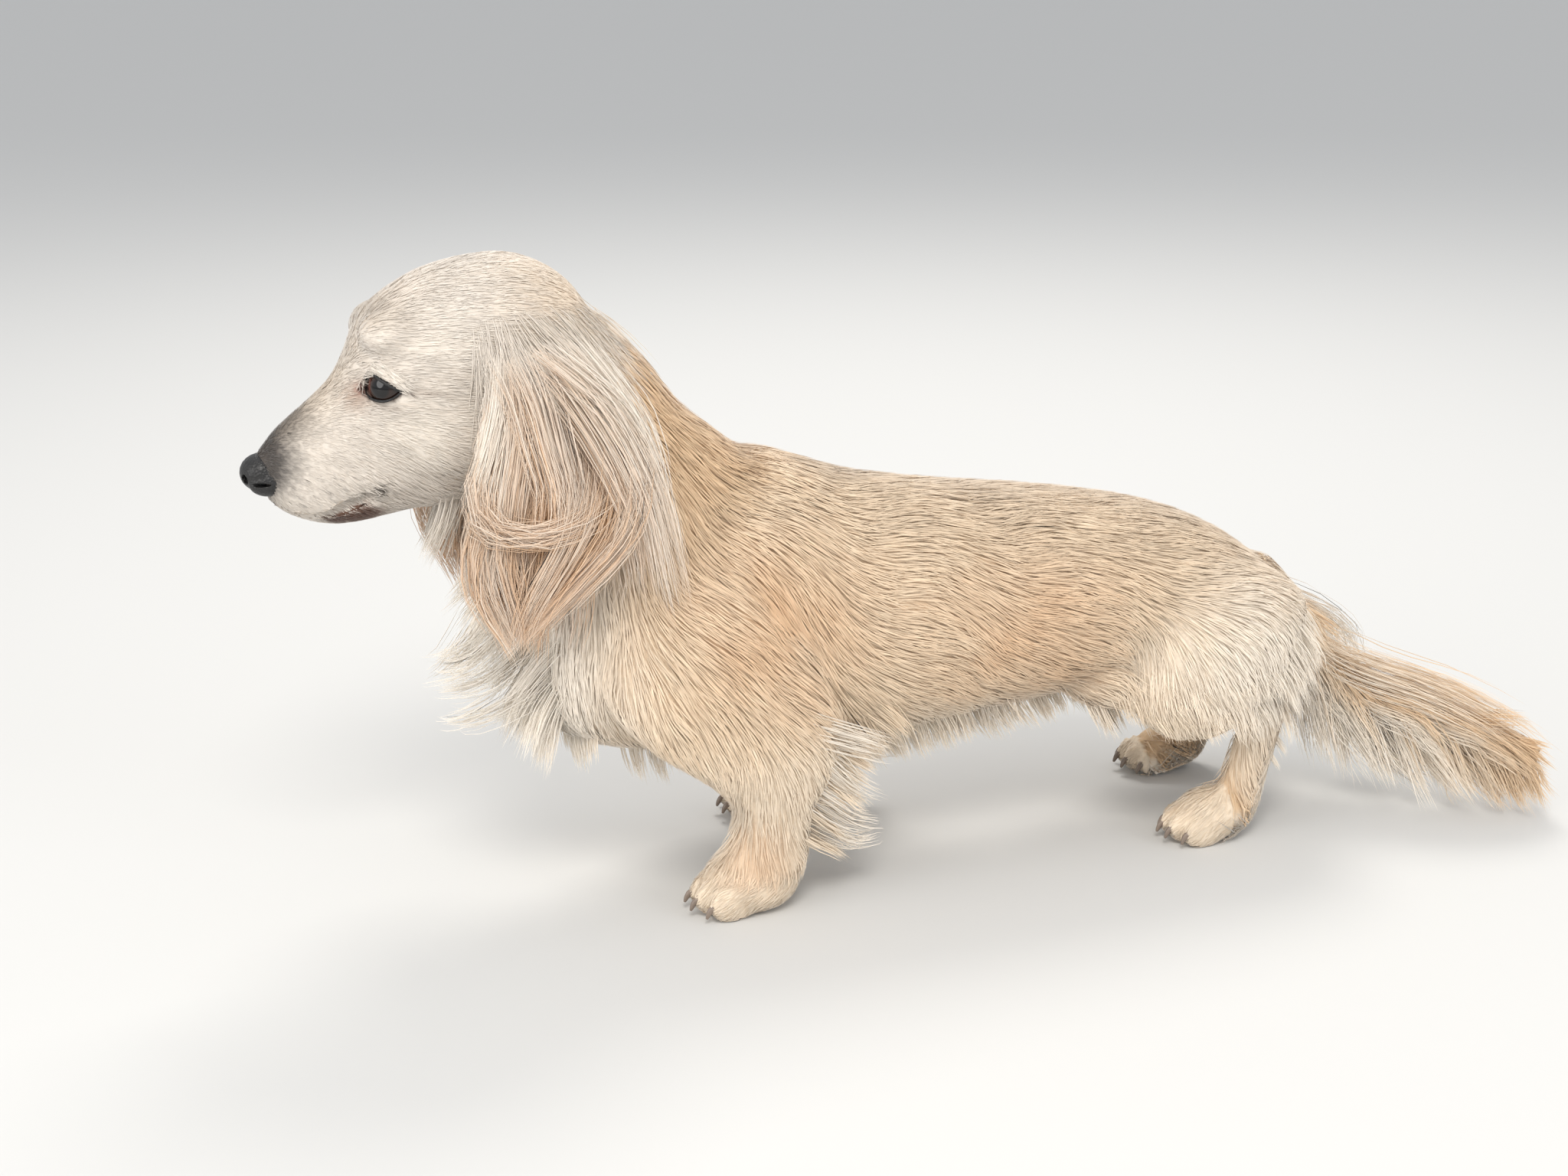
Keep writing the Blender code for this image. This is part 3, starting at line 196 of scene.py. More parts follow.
FRONT_PAW = (5.0, -8.9, 1.28)
FRONT_PAW_SIZE = (1.75, 2.2, 1.5)
HIND_PAW = (4.35, 13.7, 1.18)
HIND_PAW_SIZE = (1.5, 2.0, 1.3)
FRONT_STEP_BACK = 4.4
HIND_STEP_BACK = 2.0
STEP_TOP = 14.0
STEP_BOTTOM = 5.0
CLAW_LENGTH = 0.36
CLAW_RADIUS = 0.15

# The lines (y, z) that part the head, the neck and the tail from the rest.
HEAD_CUT = ((-13.2, 25.6), (-19.2, 17.0))
NECK_CUT = ((-7.2, 19.4), (-17.4, 13.6))
TAIL_CUT = ((19.6, 10.2), (17.6, 7.6))


def chest_row(half, y, z, count, outwards, lie_y, lie_z, length, width):
    """A row from one side of the chest to the other, with its locks leaning outwards."""
    first, last = (-outwards, lie_y, lie_z), (outwards, lie_y, lie_z)
    return (-half, y, z), (half, y, z), count, first, last, length, width


# The coat's long locks are set in rows. A row is (first root, last root, count, way that the locks lie
# at its first root, and at its last, length, width). Roots are (x, y, z) near the skin, on which each
# is then set.
RUFF_ROWS = [chest_row(*row) for row in (
    (2.0, -20.0, 16.7, 3, 0.25, -0.45, -0.86, 2.9, 0.95),
    (2.9, -20.0, 15.3, 5, 0.25, -0.55, -0.8, 3.3, 1.0),
    (2.5, -20.0, 13.8, 4, 0.22, -0.6, -0.77, 3.5, 1.05),
    (3.0, -19.5, 12.3, 5, 0.22, -0.6, -0.78, 3.6, 1.05),
    (2.4, -19.5, 10.8, 4, 0.2, -0.5, -0.85, 3.5, 1.05),
    (2.9, -19.0, 9.4, 5, 0.15, -0.35, -0.93, 3.1, 1.0),
    (2.2, -18.0, 8.0, 4, 0.1, -0.15, -0.98, 2.5, 0.95),
    (2.2, -15.6, 6.8, 3, 0.05, 0.15, -0.98, 1.8, 0.9),
)]
BELLY_ROWS = [
    ((1.2, -13.4, 5.6), (1.2, -6.6, 4.6), 4, (0.05, 0.20, -0.98), (0.05, 0.30, -0.95), 1.8, 1.15),
    ((-1.2, -12.6, 5.4), (-1.2, -5.8, 4.6), 4, (-0.05, 0.20, -0.98), (-0.05, 0.30, -0.95), 1.8, 1.15),
    ((2.6, -3.6, 5.0), (2.8, 9.6, 6.0), 12, (0.10, 0.50, -0.86), (0.10, 0.55, -0.84), 1.9, 1.5),
    ((-2.6, -3.6, 5.0), (-2.8, 9.6, 6.0), 8, (-0.10, 0.50, -0.86), (-0.10, 0.55, -0.84), 1.9, 1.5),
    ((1.2, -2.6, 4.5), (1.2, 9.2, 5.5), 7, (0.0, 0.50, -0.86), (0.0, 0.55, -0.84), 2.1, 1.5),
]
ELBOW_ROWS = [
    ((4.0, -3.5, 8.6), (4.7, -5.5, 3.0), 6, (-0.08, 0.80, -0.60), (-0.05, 0.70, -0.70), 2.7, 0.85),
    ((5.2, -3.5, 7.8), (5.4, -5.5, 3.2), 5, (0.10, 0.80, -0.60), (0.08, 0.70, -0.70), 2.5, 0.85),
]
TROUSER_ROWS = [
    ((2.6, 18.8, 11.0), (3.0, 17.4, 7.6), 4, (-0.10, 0.30, -0.95), (-0.05, 0.15, -0.98), 2.9, 1.0),
    ((3.7, 18.8, 10.6), (3.8, 17.2, 7.2), 4, (0.00, 0.32, -0.95), (0.00, 0.15, -0.98), 2.8, 1.0),
    ((4.8, 17.6, 10.0), (4.7, 16.4, 7.0), 3, (0.12, 0.28, -0.95), (0.08, 0.15, -0.98), 2.7, 1.0),
    ((4.25, 17.4, 6.0), (4.3, 17.0, 3.6), 2, (0.00, 0.42, -0.90), (0.00, 0.35, -0.93), 1.5, 0.75),
]
THIGH_ROWS = [
    ((4.6, 8.6, 7.6), (5.2, 15.6, 6.8), 8, (0.05, 0.42, -0.90), (0.05, 0.30, -0.95), 1.9, 0.9),
    ((5.6, 9.6, 8.8), (5.6, 16.8, 8.2), 7, (0.05, 0.42, -0.90), (0.05, 0.36, -0.93), 2.0, 0.9),
]
RUMP_ROWS = [
    ((-2.0, 18.6, 9.9), (-0.7, 18.9, 9.3), 3, (-0.25, 0.72, -0.64), (-0.20, 0.78, -0.58), 4.6, 1.1),
    ((-1.9, 18.2, 8.8), (-0.6, 18.4, 8.4), 3, (-0.22, 0.60, -0.76), (-0.16, 0.66, -0.72), 4.3, 1.1),
]
EAR_ROWS = [
    ((4.3, -18.6, 21.6), (4.3, -14.2, 21.6), 3, (0.05, -0.16, -0.98), (0.05, 0.22, -0.97), 3.6, 1.15),
    ((4.6, -18.6, 19.4), (4.6, -14.2, 19.4), 4, (0.05, -0.16, -0.98), (0.05, -0.20, -0.98), 3.5, 1.2),
    ((4.9, -19.0, 17.4), (4.9, -15.0, 17.4), 4, (0.04, -0.10, -0.98), (0.04, -0.62, -0.80), 3.2, 1.2),
    ((4.4, -19.2, 15.9), (4.4, -16.0, 15.9), 4, (0.00, -0.05, -0.98), (0.00, -0.60, -0.82), 2.9, 1.15),
    ((4.3, -18.9, 15.3), (4.3, -16.4, 15.2), 3, (0.00, 0.00, -1.00), (0.00, 0.02, -1.00), 3.7, 1.15),
]
# The plume's locks: where around the tail they are set, in degrees from its underside, how far along
# it the first and last are, how many there are, and their length and width.
PLUME_ROWS = [
    (0, 0.12, 0.98, 11, 4.3, 1.25),
    (42, 0.10, 0.94, 9, 4.2, 1.25),
    (-42, 0.10, 0.94, 9, 4.2, 1.25),
    (85, 0.08, 0.92, 7, 3.4, 1.15),
    (-85, 0.08, 0.92, 7, 3.4, 1.15),
    (168, 0.14, 0.94, 4, 2.8, 1.15),
]
# The photo's width and the camera's focal length in pixels, its place, and its yaw, pitch and roll.
FRAME_WIDTH_PX = 2048
FOCAL_PX = 3077.0
CAMERA_PLACE = (0.943, -0.364, 0.427)
CAMERA_TURN = (-18.0, 16.9, -0.2)
# A light is (name, place, aim, size, power, colour).
LIGHTS = [
    ("key", (1.3, -0.5, 1.7), (0, 0, 0.12), 0.9, 24, (1.0, 0.96, 0.90)),
    ("front", (0.7, -1.9, 0.8), (0, -0.15, 0.15), 1.2, 11, (1.0, 0.98, 0.96)),
    ("fill", (1.6, 1.3, 0.9), (0, 0, 0.12), 1.2, 7, (0.95, 0.97, 1.0)),
    ("back", (-1.1, 0.4, 1.6), (0, 0, 0.15), 0.8, 16, (1.0, 0.96, 0.9)),
]
FLOOR_SIZE = 60.0
FLOOR_COLOUR = (0.64, 0.64, 0.63, 1)
SKY_COLOUR = (0.93, 0.945, 0.97, 1)
SKY_STRENGTH = 0.76


def both_sides(x, y, z, middle=0.0):
    return [(middle + side * x, y, z) for side in (-1, 1)]


def srgb(r, g, b):
    c = np.array([r, g, b]) / 255.0
    return np.where(c <= 0.04045, c / 12.92, ((c + 0.055) / 1.055) ** 2.4)


# The eye of the solids gives the shift from the body's own frame to the scene's.
EYE_BOX = np.array(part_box("eye_left"))
SHIFT = EYE_BOX.mean(axis=0) - np.array((HEAD_X + EYE[0], EYE[1], EYE[2])) * CM
EYE_CENTRES = both_sides(*EYE, HEAD_X)

# Voxel sizes are in metres, and so is the height at which the soles are cut flat.
BODY_VOXEL = 0.0018
EAR_VOXEL = 0.0011
NOSE_VOXEL = 0.00045
SMOOTH_ROUNDS = 4
SOLE_HEIGHT = 0.0004
# The coat's numbers: how many times more locks a row has than its count, and rings along each hair.
DENSER = 1.6
SHORT_STEPS = 2
LONG_STEPS = 4
CURL_STEPS = 6
HAIRS_PER_LOCK = {"body": 46, "leg": 34, "ear": 30, "tail": 46}
# How far the tips of a lock's hairs are drawn together, from 0 to 1.
GATHERED = {"body": 0.30, "leg": 0.50, "ear": 0.50, "tail": 0.45}
EAR_TUFTS_PER_CM2 = 48.0
EAR_STEPS = 4
CROWN_HAIRS = 760
LID_HAIRS = 520
EAR_REACH = 5.8
EAR_COAT_DEPTH = 0.12
BESIDE_HEAD = 9.0
ROOT_DEPTH = 0.08
LOWEST_HAIR = 0.15
MOST_TRIANGLES = 190000
# Half widths of hairs, and how thick a hair is for its half width. The profiles are shares of these.
LID_HAIR_WIDTH = 0.014
WISP_WIDTH = 0.016
EAR_HAIR_WIDTH = 0.018
LOCK_HAIR_WIDTH = 0.023
HAIR_THICKNESS = 0.55
SHORT_PROFILE = (0.75, 1.0)
LONG_PROFILE = (0.8, 1.0, 0.85, 0.55)
CURL_PROFILE = (0.3, 0.8, 1.0, 0.95, 0.8, 0.55)
# How far the shading of a hair follows the skin under it, from 0 to 1, as in a soft lying coat.
LYING_SOFTNESS = 0.80
HANGING_SOFTNESS = 0.45
EAR_SOFTNESS = 0.5

# The locks that show one by one: (points along the middle, spread at the root and the tip, hairs).
EAR_CURLS = [
    ([(4.4, -19.3, 21.0), (5.0, -20.0, 19.5), (5.4, -19.8, 18.1), (5.6, -18.7, 17.5), (5.6, -17.3, 17.5),
      (5.5, -15.9, 18.0), (5.2, -14.8, 18.9)], 0.36, 0.34, 170),
    ([(5.2, -13.9, 19.6), (5.4, -14.1, 17.9), (5.5, -14.8, 16.7), (5.6, -15.9, 15.6), (5.5, -17.2, 14.3),
      (5.0, -18.4, 12.9)], 0.45, 0.30, 170),
    ([(5.0, -15.6, 20.0), (5.4, -16.0, 18.0), (5.5, -17.0, 16.2), (5.3, -18.0, 14.4), (4.9, -18.6, 12.6)],
     0.60, 0.35, 130),
    ([(4.6, -19.3, 18.8), (5.1, -20.2, 17.1), (5.2, -20.2, 15.4), (5.0, -19.6, 13.9), (4.8, -18.8, 12.2)],
     0.40, 0.25, 120),
    ([(4.9, -18.8, 18.4), (5.3, -19.3, 17.0), (5.3, -19.2, 15.6), (5.0, -18.8, 14.0), (4.8, -18.6, 12.4)],
     0.50, 0.30, 120),
    ([(4.0, -17.2, 24.6), (4.7, -16.0, 23.6), (5.0, -14.4, 22.0), (5.1, -13.1, 19.2), (5.0, -12.4, 16.2),
      (4.8, -12.0, 13.6)], 0.40, 0.40, 140),
    ([(4.1, -17.0, 24.2), (4.8, -15.9, 22.8), (5.1, -14.5, 20.3), (5.2, -13.5, 17.4), (5.0, -13.0, 14.2)],
     0.50, 0.45, 140),
    ([(4.0, -18.2, 24.2), (4.7, -17.6, 22.6), (5.2, -17.3, 20.6), (5.4, -16.9, 18.8), (5.3, -17.2, 17.0)],
     0.60, 0.50, 130),
    ([(3.6, -18.6, 24.2), (4.4, -18.9, 22.7), (4.9, -19.4, 21.0), (5.0, -19.9, 19.4), (4.9, -20.1, 18.0)],
     0.20, 0.24, 120),
    ([(4.0, -18.4, 23.8), (4.5, -18.4, 22.2), (4.9, -18.6, 20.6), (5.1, -19.0, 18.8), (5.0, -19.3, 17.0)],
     0.35, 0.40, 120),
    ([(3.5, -15.8, 24.8), (4.1, -14.9, 23.6), (4.5, -13.8, 21.8), (4.8, -13.0, 19.4), (4.8, -12.6, 16.6)],
     0.45, 0.45, 130),
]
CHEST_WISPS = [
    ([(1.6, -18.6, 12.8), (1.0, -19.6, 11.6), (0.2, -20.6, 10.9), (-0.2, -21.3, 10.9)], 0.5, 0.3, 60),
    ([(2.0, -18.4, 11.4), (1.2, -19.4, 10.3), (0.3, -20.5, 9.7), (-0.1, -21.1, 9.6)], 0.5, 0.3, 60),
    ([(2.2, -18.0, 10.0), (1.4, -19.2, 9.0), (0.7, -20.2, 8.4), (0.3, -20.9, 8.4)], 0.5, 0.3, 60),
    ([(-1.2, -18.6, 12.6), (-1.2, -19.6, 11.2), (-1.0, -20.5, 10.4), (-0.9, -21.0, 10.1)], 0.5, 0.3, 60),
]
RUMP_WISPS = [
    ([(-1.6, 18.2, 9.6), (-2.2, 20.4, 8.8), (-2.5, 22.8, 7.6), (-2.6, 24.4, 6.0), (-2.4, 24.6, 4.4)],
     0.5, 0.45, 130),
]
TAIL_WISPS = [
    ([(0.9, 19.4, 8.6), (2.2, 21.2, 7.1), (3.6, 23.0, 6.4), (4.9, 24.8, 5.9), (6.0, 26.6, 4.9),
      (6.6, 28.2, 3.8)], 0.60, 0.70, 110),
    ([(1.9, 20.4, 7.5), (3.3, 22.2, 6.7), (4.4, 24.0, 6.1), (5.4, 25.6, 5.4), (6.4, 27.4, 4.3),
      (6.8, 28.8, 3.0)], 0.60, 0.70, 110),
    ([(1.4, 20.4, 6.4), (2.4, 21.4, 4.6), (3.2, 22.4, 3.1), (3.9, 23.2, 1.9)], 0.60, 0.50, 80),
    ([(2.4, 21.8, 5.2), (3.3, 22.9, 3.6), (4.0, 24.0, 2.2), (4.6, 25.0, 1.3)], 0.60, 0.50, 80),
    ([(3.8, 23.8, 4.6), (4.6, 24.9, 3.0), (5.2, 25.9, 1.7), (5.7, 26.8, 0.8)], 0.60, 0.45, 90),
    ([(5.0, 25.4, 4.2), (5.7, 26.4, 2.7), (6.2, 27.3, 1.5), (6.5, 28.0, 0.7)], 0.50, 0.40, 90),
]
ELBOW_WISPS = [
    ([(5.2, -7.9, 8.6), (5.6, -5.9, 7.9), (5.6, -3.9, 7.1), (5.4, -2.7, 6.6)], 0.45, 0.35, 60),
    ([(5.0, -7.6, 7.8), (5.5, -6.0, 6.7), (5.5, -4.6, 5.3), (5.2, -3.3, 4.4)], 0.45, 0.35, 70),
    ([(5.2, -7.2, 5.6), (5.4, -5.8, 4.5), (5.2, -4.4, 3.5), (5.0, -3.3, 3.1)], 0.40, 0.30, 60),
    ([(5.2, -7.0, 4.2), (5.3, -5.6, 3.1), (5.1, -4.2, 2.4), (4.9, -3.2, 2.4)], 0.35, 0.25, 50),
]

HEAD, NECK, TORSO, TAIL, FORE, HIND, FOOT = range(7)
# By part: depth of the coat, length of its tufts, half width of a tuft, tufts per square centimetre.
COAT_DEPTH = (0.10, 0.30, 0.32, 0.30, 0.20, 0.24, 0.09)
TUFT_LENGTH = (0.9, 2.4, 2.3, 2.8, 1.5, 1.9, 0.75)
TUFT_WIDTH = (0.015, 0.027, 0.027, 0.034, 0.024, 0.025, 0.019)
TUFTS_PER_CM2 = (86.0, 31.0, 33.0, 44.5, 40.5, 37.0, 72.0)

WHITE = srgb(240, 232, 220)
FACE = srgb(222, 213, 202)
MUZZLE_TOP = srgb(182, 166, 146)
CREAM = srgb(226, 204, 176)
GOLD = srgb(214, 180, 140)
APRICOT = srgb(216, 172, 128)
GREYISH = srgb(188, 168, 144)
LEG_CREAM = srgb(236, 220, 198)
SOOT = srgb(50, 45, 44)
TEAR_STAIN = srgb(176, 148, 128)
# Painted shade for the folds round the eyes.
CREASE_SHADE = srgb(158, 140, 126)
INNER_CORNER = srgb(168, 122, 108)
LID_EDGE = srgb(84, 64, 58)
LOWER_LIP = srgb(104, 78, 66)
LIP_EDGE = srgb(52, 40, 36)
EYE_RING = srgb(30, 20, 17)
IRIS = srgb(40, 25, 18)
PUPIL = srgb(8, 6, 6)
TEAR_FLESH = srgb(128, 84, 74)
SHOULDERS = both_sides(4.6, -8.6, 13.6)
FLANKS = both_sides(5.0, 3.0, 11.6)
# Places under the lower lip, as (x from the middle of the head, y, z).
CHIN_SPOTS = [(1.25, -25.2, 17.15), (1.3, -24.7, 17.3), (1.4, -24.2, 17.55)]
# Rows of dark spots on the upper lip, from which the whiskers grow, as (y, z).
WHISKER_SPOTS = [
    (-26.9, 19.1), (-26.3, 19.2), (-25.7, 19.3), (-25.1, 19.4), (-24.5, 19.5),
    (-26.7, 18.7), (-26.1, 18.75), (-25.5, 18.85), (-24.9, 18.95), (-24.3, 19.1),
    (-26.5, 18.3), (-25.9, 18.3), (-25.3, 18.4), (-24.7, 18.55),
]


def catmull(values, t):
    """The value at t, from 0 to len(values) - 1, on a smooth curve through the values."""
    i = min(int(t), len(values) - 2)
    f = t - i
    a = values[max(i - 1, 0)]
    b = values[i]
    c = values[i + 1]
    d = values[min(i + 2, len(values) - 1)]
    return 0.5 * (2 * b + (c - a) * f + (2 * a - 5 * b + 4 * c - d) * f * f
                  + (3 * b - a - 3 * c + d) * f * f * f)


def smooth_rows(rows, steps):
    """The rows of numbers with steps - 1 more between each two, on smooth curves."""
    rows = np.array(rows, float)
    count = (len(rows) - 1) * steps
    return np.array([catmull(rows, k / steps) for k in range(count + 1)])


def closed_tube(rings):
    """A bmesh closed at both ends, from rings of the same number of points."""
    bm = bmesh.new()
    loops = [[bm.verts.new(p) for p in ring] for ring in rings]
    sides = len(loops[0])
    for a, b in zip(loops, loops[1:]):
        for k in range(sides):
            bm.faces.new((a[k], a[(k + 1) % sides], b[(k + 1) % sides], b[k]))
    for ring in (loops[0], loops[-1]):
        middle = bm.verts.new(sum((v.co for v in ring), Vector()) / sides)
        for k in range(sides):
            bm.faces.new((ring[k], ring[(k + 1) % sides], middle))
    bmesh.ops.recalc_face_normals(bm, faces=bm.faces)
    return bm


def ribbed(ribs, sides=28, steps=4, square=2.2):
    """A body lofted through ribs, each an oval between its two points."""
    flat = [(*a, *b, half, x, *(taper or [0.0])) for a, b, half, x, *taper in ribs]
    rings = []
    for ty, tz, by, bz, half, x, taper in smooth_rows(flat, steps):
        ring = []
        for k in range(sides):
            angle = 2 * math.pi * k / sides
            c, s = math.cos(angle), math.sin(angle)
            c = math.copysign(abs(c) ** (2 / square), c)
            s = math.copysign(abs(s) ** (2 / square), s)
            across = x + half * c * (1 + taper * s)
            y = (ty + by) / 2 + s * (ty - by) / 2
            z = (tz + bz) / 2 + s * (tz - bz) / 2
            ring.append(Vector((across, y, z)) * CM)
        rings.append(ring)
    return closed_tube(rings)


def limb(stays, sides=18, steps=4):
    """A round limb along its stays."""
    rows = smooth_rows(stays, steps)
    rings = []
    for i, (x, y, z, half, deep) in enumerate(rows):
        before, after = rows[max(i - 1, 0)], rows[min(i + 1, len(rows) - 1)]
        along = Vector(after[:3] - before[:3]).normalized()
        side = (Vector((1, 0, 0)) - along * along.x).normalized()
        other = along.cross(side)
        middle = Vector((x, y, z))
        ring = []
        for k in range(sides):
            angle = 2 * math.pi * k / sides
            ring.append((middle + side * half * math.cos(angle) + other * deep * math.sin(angle)) * CM)
        rings.append(ring)
    return closed_tube(rings)


def swelling(x, y, z, rx, ry, rz, turn=0.0, tip=0.0, detail=3):
    """An ellipsoid, tipped about X and then turned about Z, in degrees."""
    bm = bmesh.new()
    bmesh.ops.create_icosphere(bm, subdivisions=detail, radius=1.0)
    place = (Matrix.Translation(Vector((x, y, z)) * CM)
             @ Matrix.Rotation(math.radians(turn), 4, "Z") @ Matrix.Rotation(math.radians(tip), 4, "X")
             @ Matrix.Diagonal((rx * CM, ry * CM, rz * CM, 1.0)))
    bmesh.ops.transform(bm, matrix=place, verts=bm.verts)
    return bm


def on_head(form, side, turn=0.0, detail=3):
    """A swelling of the head, on its left for side 1 and on its right for side -1."""
    x, *rest = form
    return swelling(HEAD_X + side * x, *rest, turn=turn * side, detail=detail)


def step(z):
    """How much of a pace the limb takes at height z, from 0 at the shoulder to 1 at the foot."""
    t = min(max((STEP_TOP - z / CM) / (STEP_TOP - STEP_BOTTOM), 0.0), 1.0)
    return t * t * (3 - 2 * t)


def mirrored(bm, back=0.0):
    """The mirror image of bm across x = 0, its foot set back by so many centimetres."""
    twin = bm.copy()
    for v in twin.verts:
        v.co = Vector((-v.co.x, v.co.y + back * step(v.co.z) * CM, v.co.z))
    bmesh.ops.reverse_faces(twin, faces=twin.faces)
    return twin


def toe_places(centre, size):
    """The middles of a left paw's four toes and the way that each points, in degrees."""
    x, y, _ = centre
    width, reach, _ = size
    places = []
    for across, back, lift in ((-1.08, 0.45, 0.0), (-0.38, 0.0, 0.08), (0.38, 0.0, 0.08), (1.08, 0.45, 0.0)):
        places.append((x + across * width / 1.6, y - reach * 0.72 + back, 0.72 + lift, 7 * across))
    return places


def paw_forms(centre, size):
    """The pad and the four toes of a left paw."""
    forms = [swelling(*centre, *size)]
    for x, y, z, turn in toe_places(centre, size):
        forms.append(swelling(x, y, z, 0.47, 1.2, 0.9, turn=turn))
    return forms


def body_forms():
    """Every rounded form behind the head, as closed bodies that overlap."""
    forms = [ribbed(TORSO_RIBS, sides=36), ribbed(NECK_RIBS), limb(TAIL_STAYS)]
    forms += [swelling(side * FLANK_FOLD[0], *FLANK_FOLD[1:]) for side in (-1, 1)]
    foreleg = [ribbed(FORELEG_RIBS)] + paw_forms(FRONT_PAW, FRONT_PAW_SIZE)
    hindleg = [ribbed(THIGH_RIBS), limb(SHANK_STAYS)] + paw_forms(HIND_PAW, HIND_PAW_SIZE)
    for side, back in ((foreleg, FRONT_STEP_BACK), (hindleg, HIND_STEP_BACK)):
        forms += side + [mirrored(bm, back) for bm in side]
    return forms


def head_forms():
    """The skull, muzzle, brows, cheeks and lips."""
    forms = [ribbed(HEAD_RIBS, sides=40), on_head(NOSE_ROOT, 1)]
    around_eye = (*EYE, *[EYE_RADIUS + LID_DEPTH] * 3)
    for side in (-1, 1):
        forms += [on_head(BROW, side, turn=-12), on_head(CHEEK, side, turn=-10), on_head(FLEW, side),
                  on_head(around_eye, side)]
    return forms


def object_of(name, forms):
    """One object that holds all these bodies."""
    mesh = bpy.data.meshes.new(name)
    whole = bmesh.new()
    for bm in forms:
        held = bpy.data.meshes.new("form")
        bm.to_mesh(held)
        bm.free()
        whole.from_mesh(held)
        bpy.data.meshes.remove(held)
    whole.to_mesh(mesh)
    whole.free()
    obj = bpy.data.objects.new(name, mesh)
    bpy.context.scene.collection.objects.link(obj)
    return obj


def discard(*objects):
    for obj in objects:
        mesh = obj.data
        bpy.data.objects.remove(obj)
        bpy.data.meshes.remove(mesh)


def apply_all(obj):
    """Replaces the object's mesh by the one that its modifiers make."""
    graph = bpy.context.evaluated_depsgraph_get()
    made = bpy.data.meshes.new_from_object(obj.evaluated_get(graph), depsgraph=graph)
    obj.modifiers.clear()
    old = obj.data
    obj.data = made
    bpy.data.meshes.remove(old)
    return obj


def eye_axes(side):
    """The middle of an eye, and the ways out of the head, back along the lids and up."""
    x, y, z = EYE
    middle = Vector((HEAD_X + side * x, y, z)) * CM
    angle = math.radians(EYE_AZIMUTH)
    out = Vector((side * math.sin(angle), -math.cos(angle), 0.08)).normalized()
    up = (Vector((0, 0, 1)) - out * out.z).normalized()
    return middle, out, up.cross(out) * side, up


def eye_arrays(side):
    return [np.array(v) for v in eye_axes(side)]


def from_eye(points, side):
    """How far points lie from the middle of an eye: back along the lids, up and out, in centimetres."""
    middle, out, back, up = eye_arrays(side)
    offset = points - middle / CM
    return offset @ back, offset @ up, offset @ out


def lid_edge(height, peak, power, count):
    """Places (back, up) along the edge of a lid, from the inner corner to the outer one, in centimetres."""
    edge = []
    for k in range(count + 1):
        u = 2 * k / count - 1
        skew = (u - peak) / (1 - peak) if u > peak else (u - peak) / (1 + peak)
        edge.append((u * EYE_HALF_LENGTH - LID_FORWARD, height * (1 - abs(skew) ** power) + CORNER_DROP))
    return edge


def lid_edges(count=16):
    """The edges of the upper and the lower lid, each as a row of places back and a row of heights."""
    return [np.array(lid_edge(*lid, count)).T for lid in (UPPER_LID, LOWER_LID)]


def lid_stays(side, height, peak, power, radius):
    """The rim of a lid as stays of a thin limb that lies on the eyeball."""
    middle, out, back, up = eye_axes(side)
    ball = EYE_RADIUS + LID_DEPTH * 0.8
    stays = []
    for a, b in lid_edge(height, peak, power, 14):
        p = middle / CM + out * math.sqrt(max(ball * ball - a * a - b * b, 0.0)) + back * a + up * b
        thick = radius * (1.0 - 0.65 * (a / EYE_HALF_LENGTH) ** 2)
        stays.append((*p, thick, thick))
    return stays


def eye_opening(side):
    """The block that opens the lids in front of an eyeball."""
    middle, out, back, up = eye_axes(side)
    loop = lid_edge(*UPPER_LID, 20) + lid_edge(*LOWER_LID, 20)[-2:0:-1]
    bm = bmesh.new()
    rings = []
    for depth in (0.3, 1.9):
        rings.append([bm.verts.new(middle + (out * depth + back * a + up * b) * CM) for a, b in loop])
    count = len(loop)
    bm.faces.new(rings[0])
    bm.faces.new(rings[1][::-1])
    for k in range(count):
        n = (k + 1) % count
        bm.faces.new((rings[0][k], rings[0][n], rings[1][n], rings[1][k]))
    bmesh.ops.triangulate(bm, faces=bm.faces)
    bmesh.ops.recalc_face_normals(bm, faces=bm.faces)
    return bm


def in_scene(points_cm):
    return np.asarray(points_cm) * CM + SHIFT


def read_points(mesh, kind="co"):
    flat = np.empty(len(mesh.vertices) * 3, np.float32)
    if kind == "co":
        mesh.vertices.foreach_get("co", flat)
    else:
        mesh.vertex_normals.foreach_get("vector", flat)
    return flat.reshape(-1, 3).astype(np.float64)


def write_points(mesh, points):
    mesh.vertices.foreach_set("co", np.ascontiguousarray(points, np.float32).ravel())
    mesh.update()


def triangles_of(mesh):
    mesh.calc_loop_triangles()
    flat = np.empty(len(mesh.loop_triangles) * 3, np.int32)
    mesh.loop_triangles.foreach_get("vertices", flat)
    return flat.reshape(-1, 3)


def smooth01(value):
    t = np.clip(value, 0.0, 1.0)
    return t * t * (3 - 2 * t)


def ramp(value, low, high):
    """0 below low, 1 above high and smooth between them."""
    return smooth01((value - low) / (high - low))


def unit(rows):
    return rows / np.maximum(np.linalg.norm(rows, axis=-1, keepdims=True), 1e-9)


def flattened(ways, normals):
    """The ways turned to run along a skin with these normals."""
    return unit(ways - normals * (ways * normals).sum(axis=1, keepdims=True))


def between(first, last, t):
    return np.array(first) + (np.array(last) - np.array(first)) * t


def beyond(points, cut):
    """How far points lie beyond a line through two points (y, z), in centimetres."""
    (y0, z0), (y1, z1) = cut
    return (((points[:, 1] - y0) * (z1 - z0) - (points[:, 2] - z0) * (y1 - y0))
            / math.hypot(y1 - y0, z1 - z0))


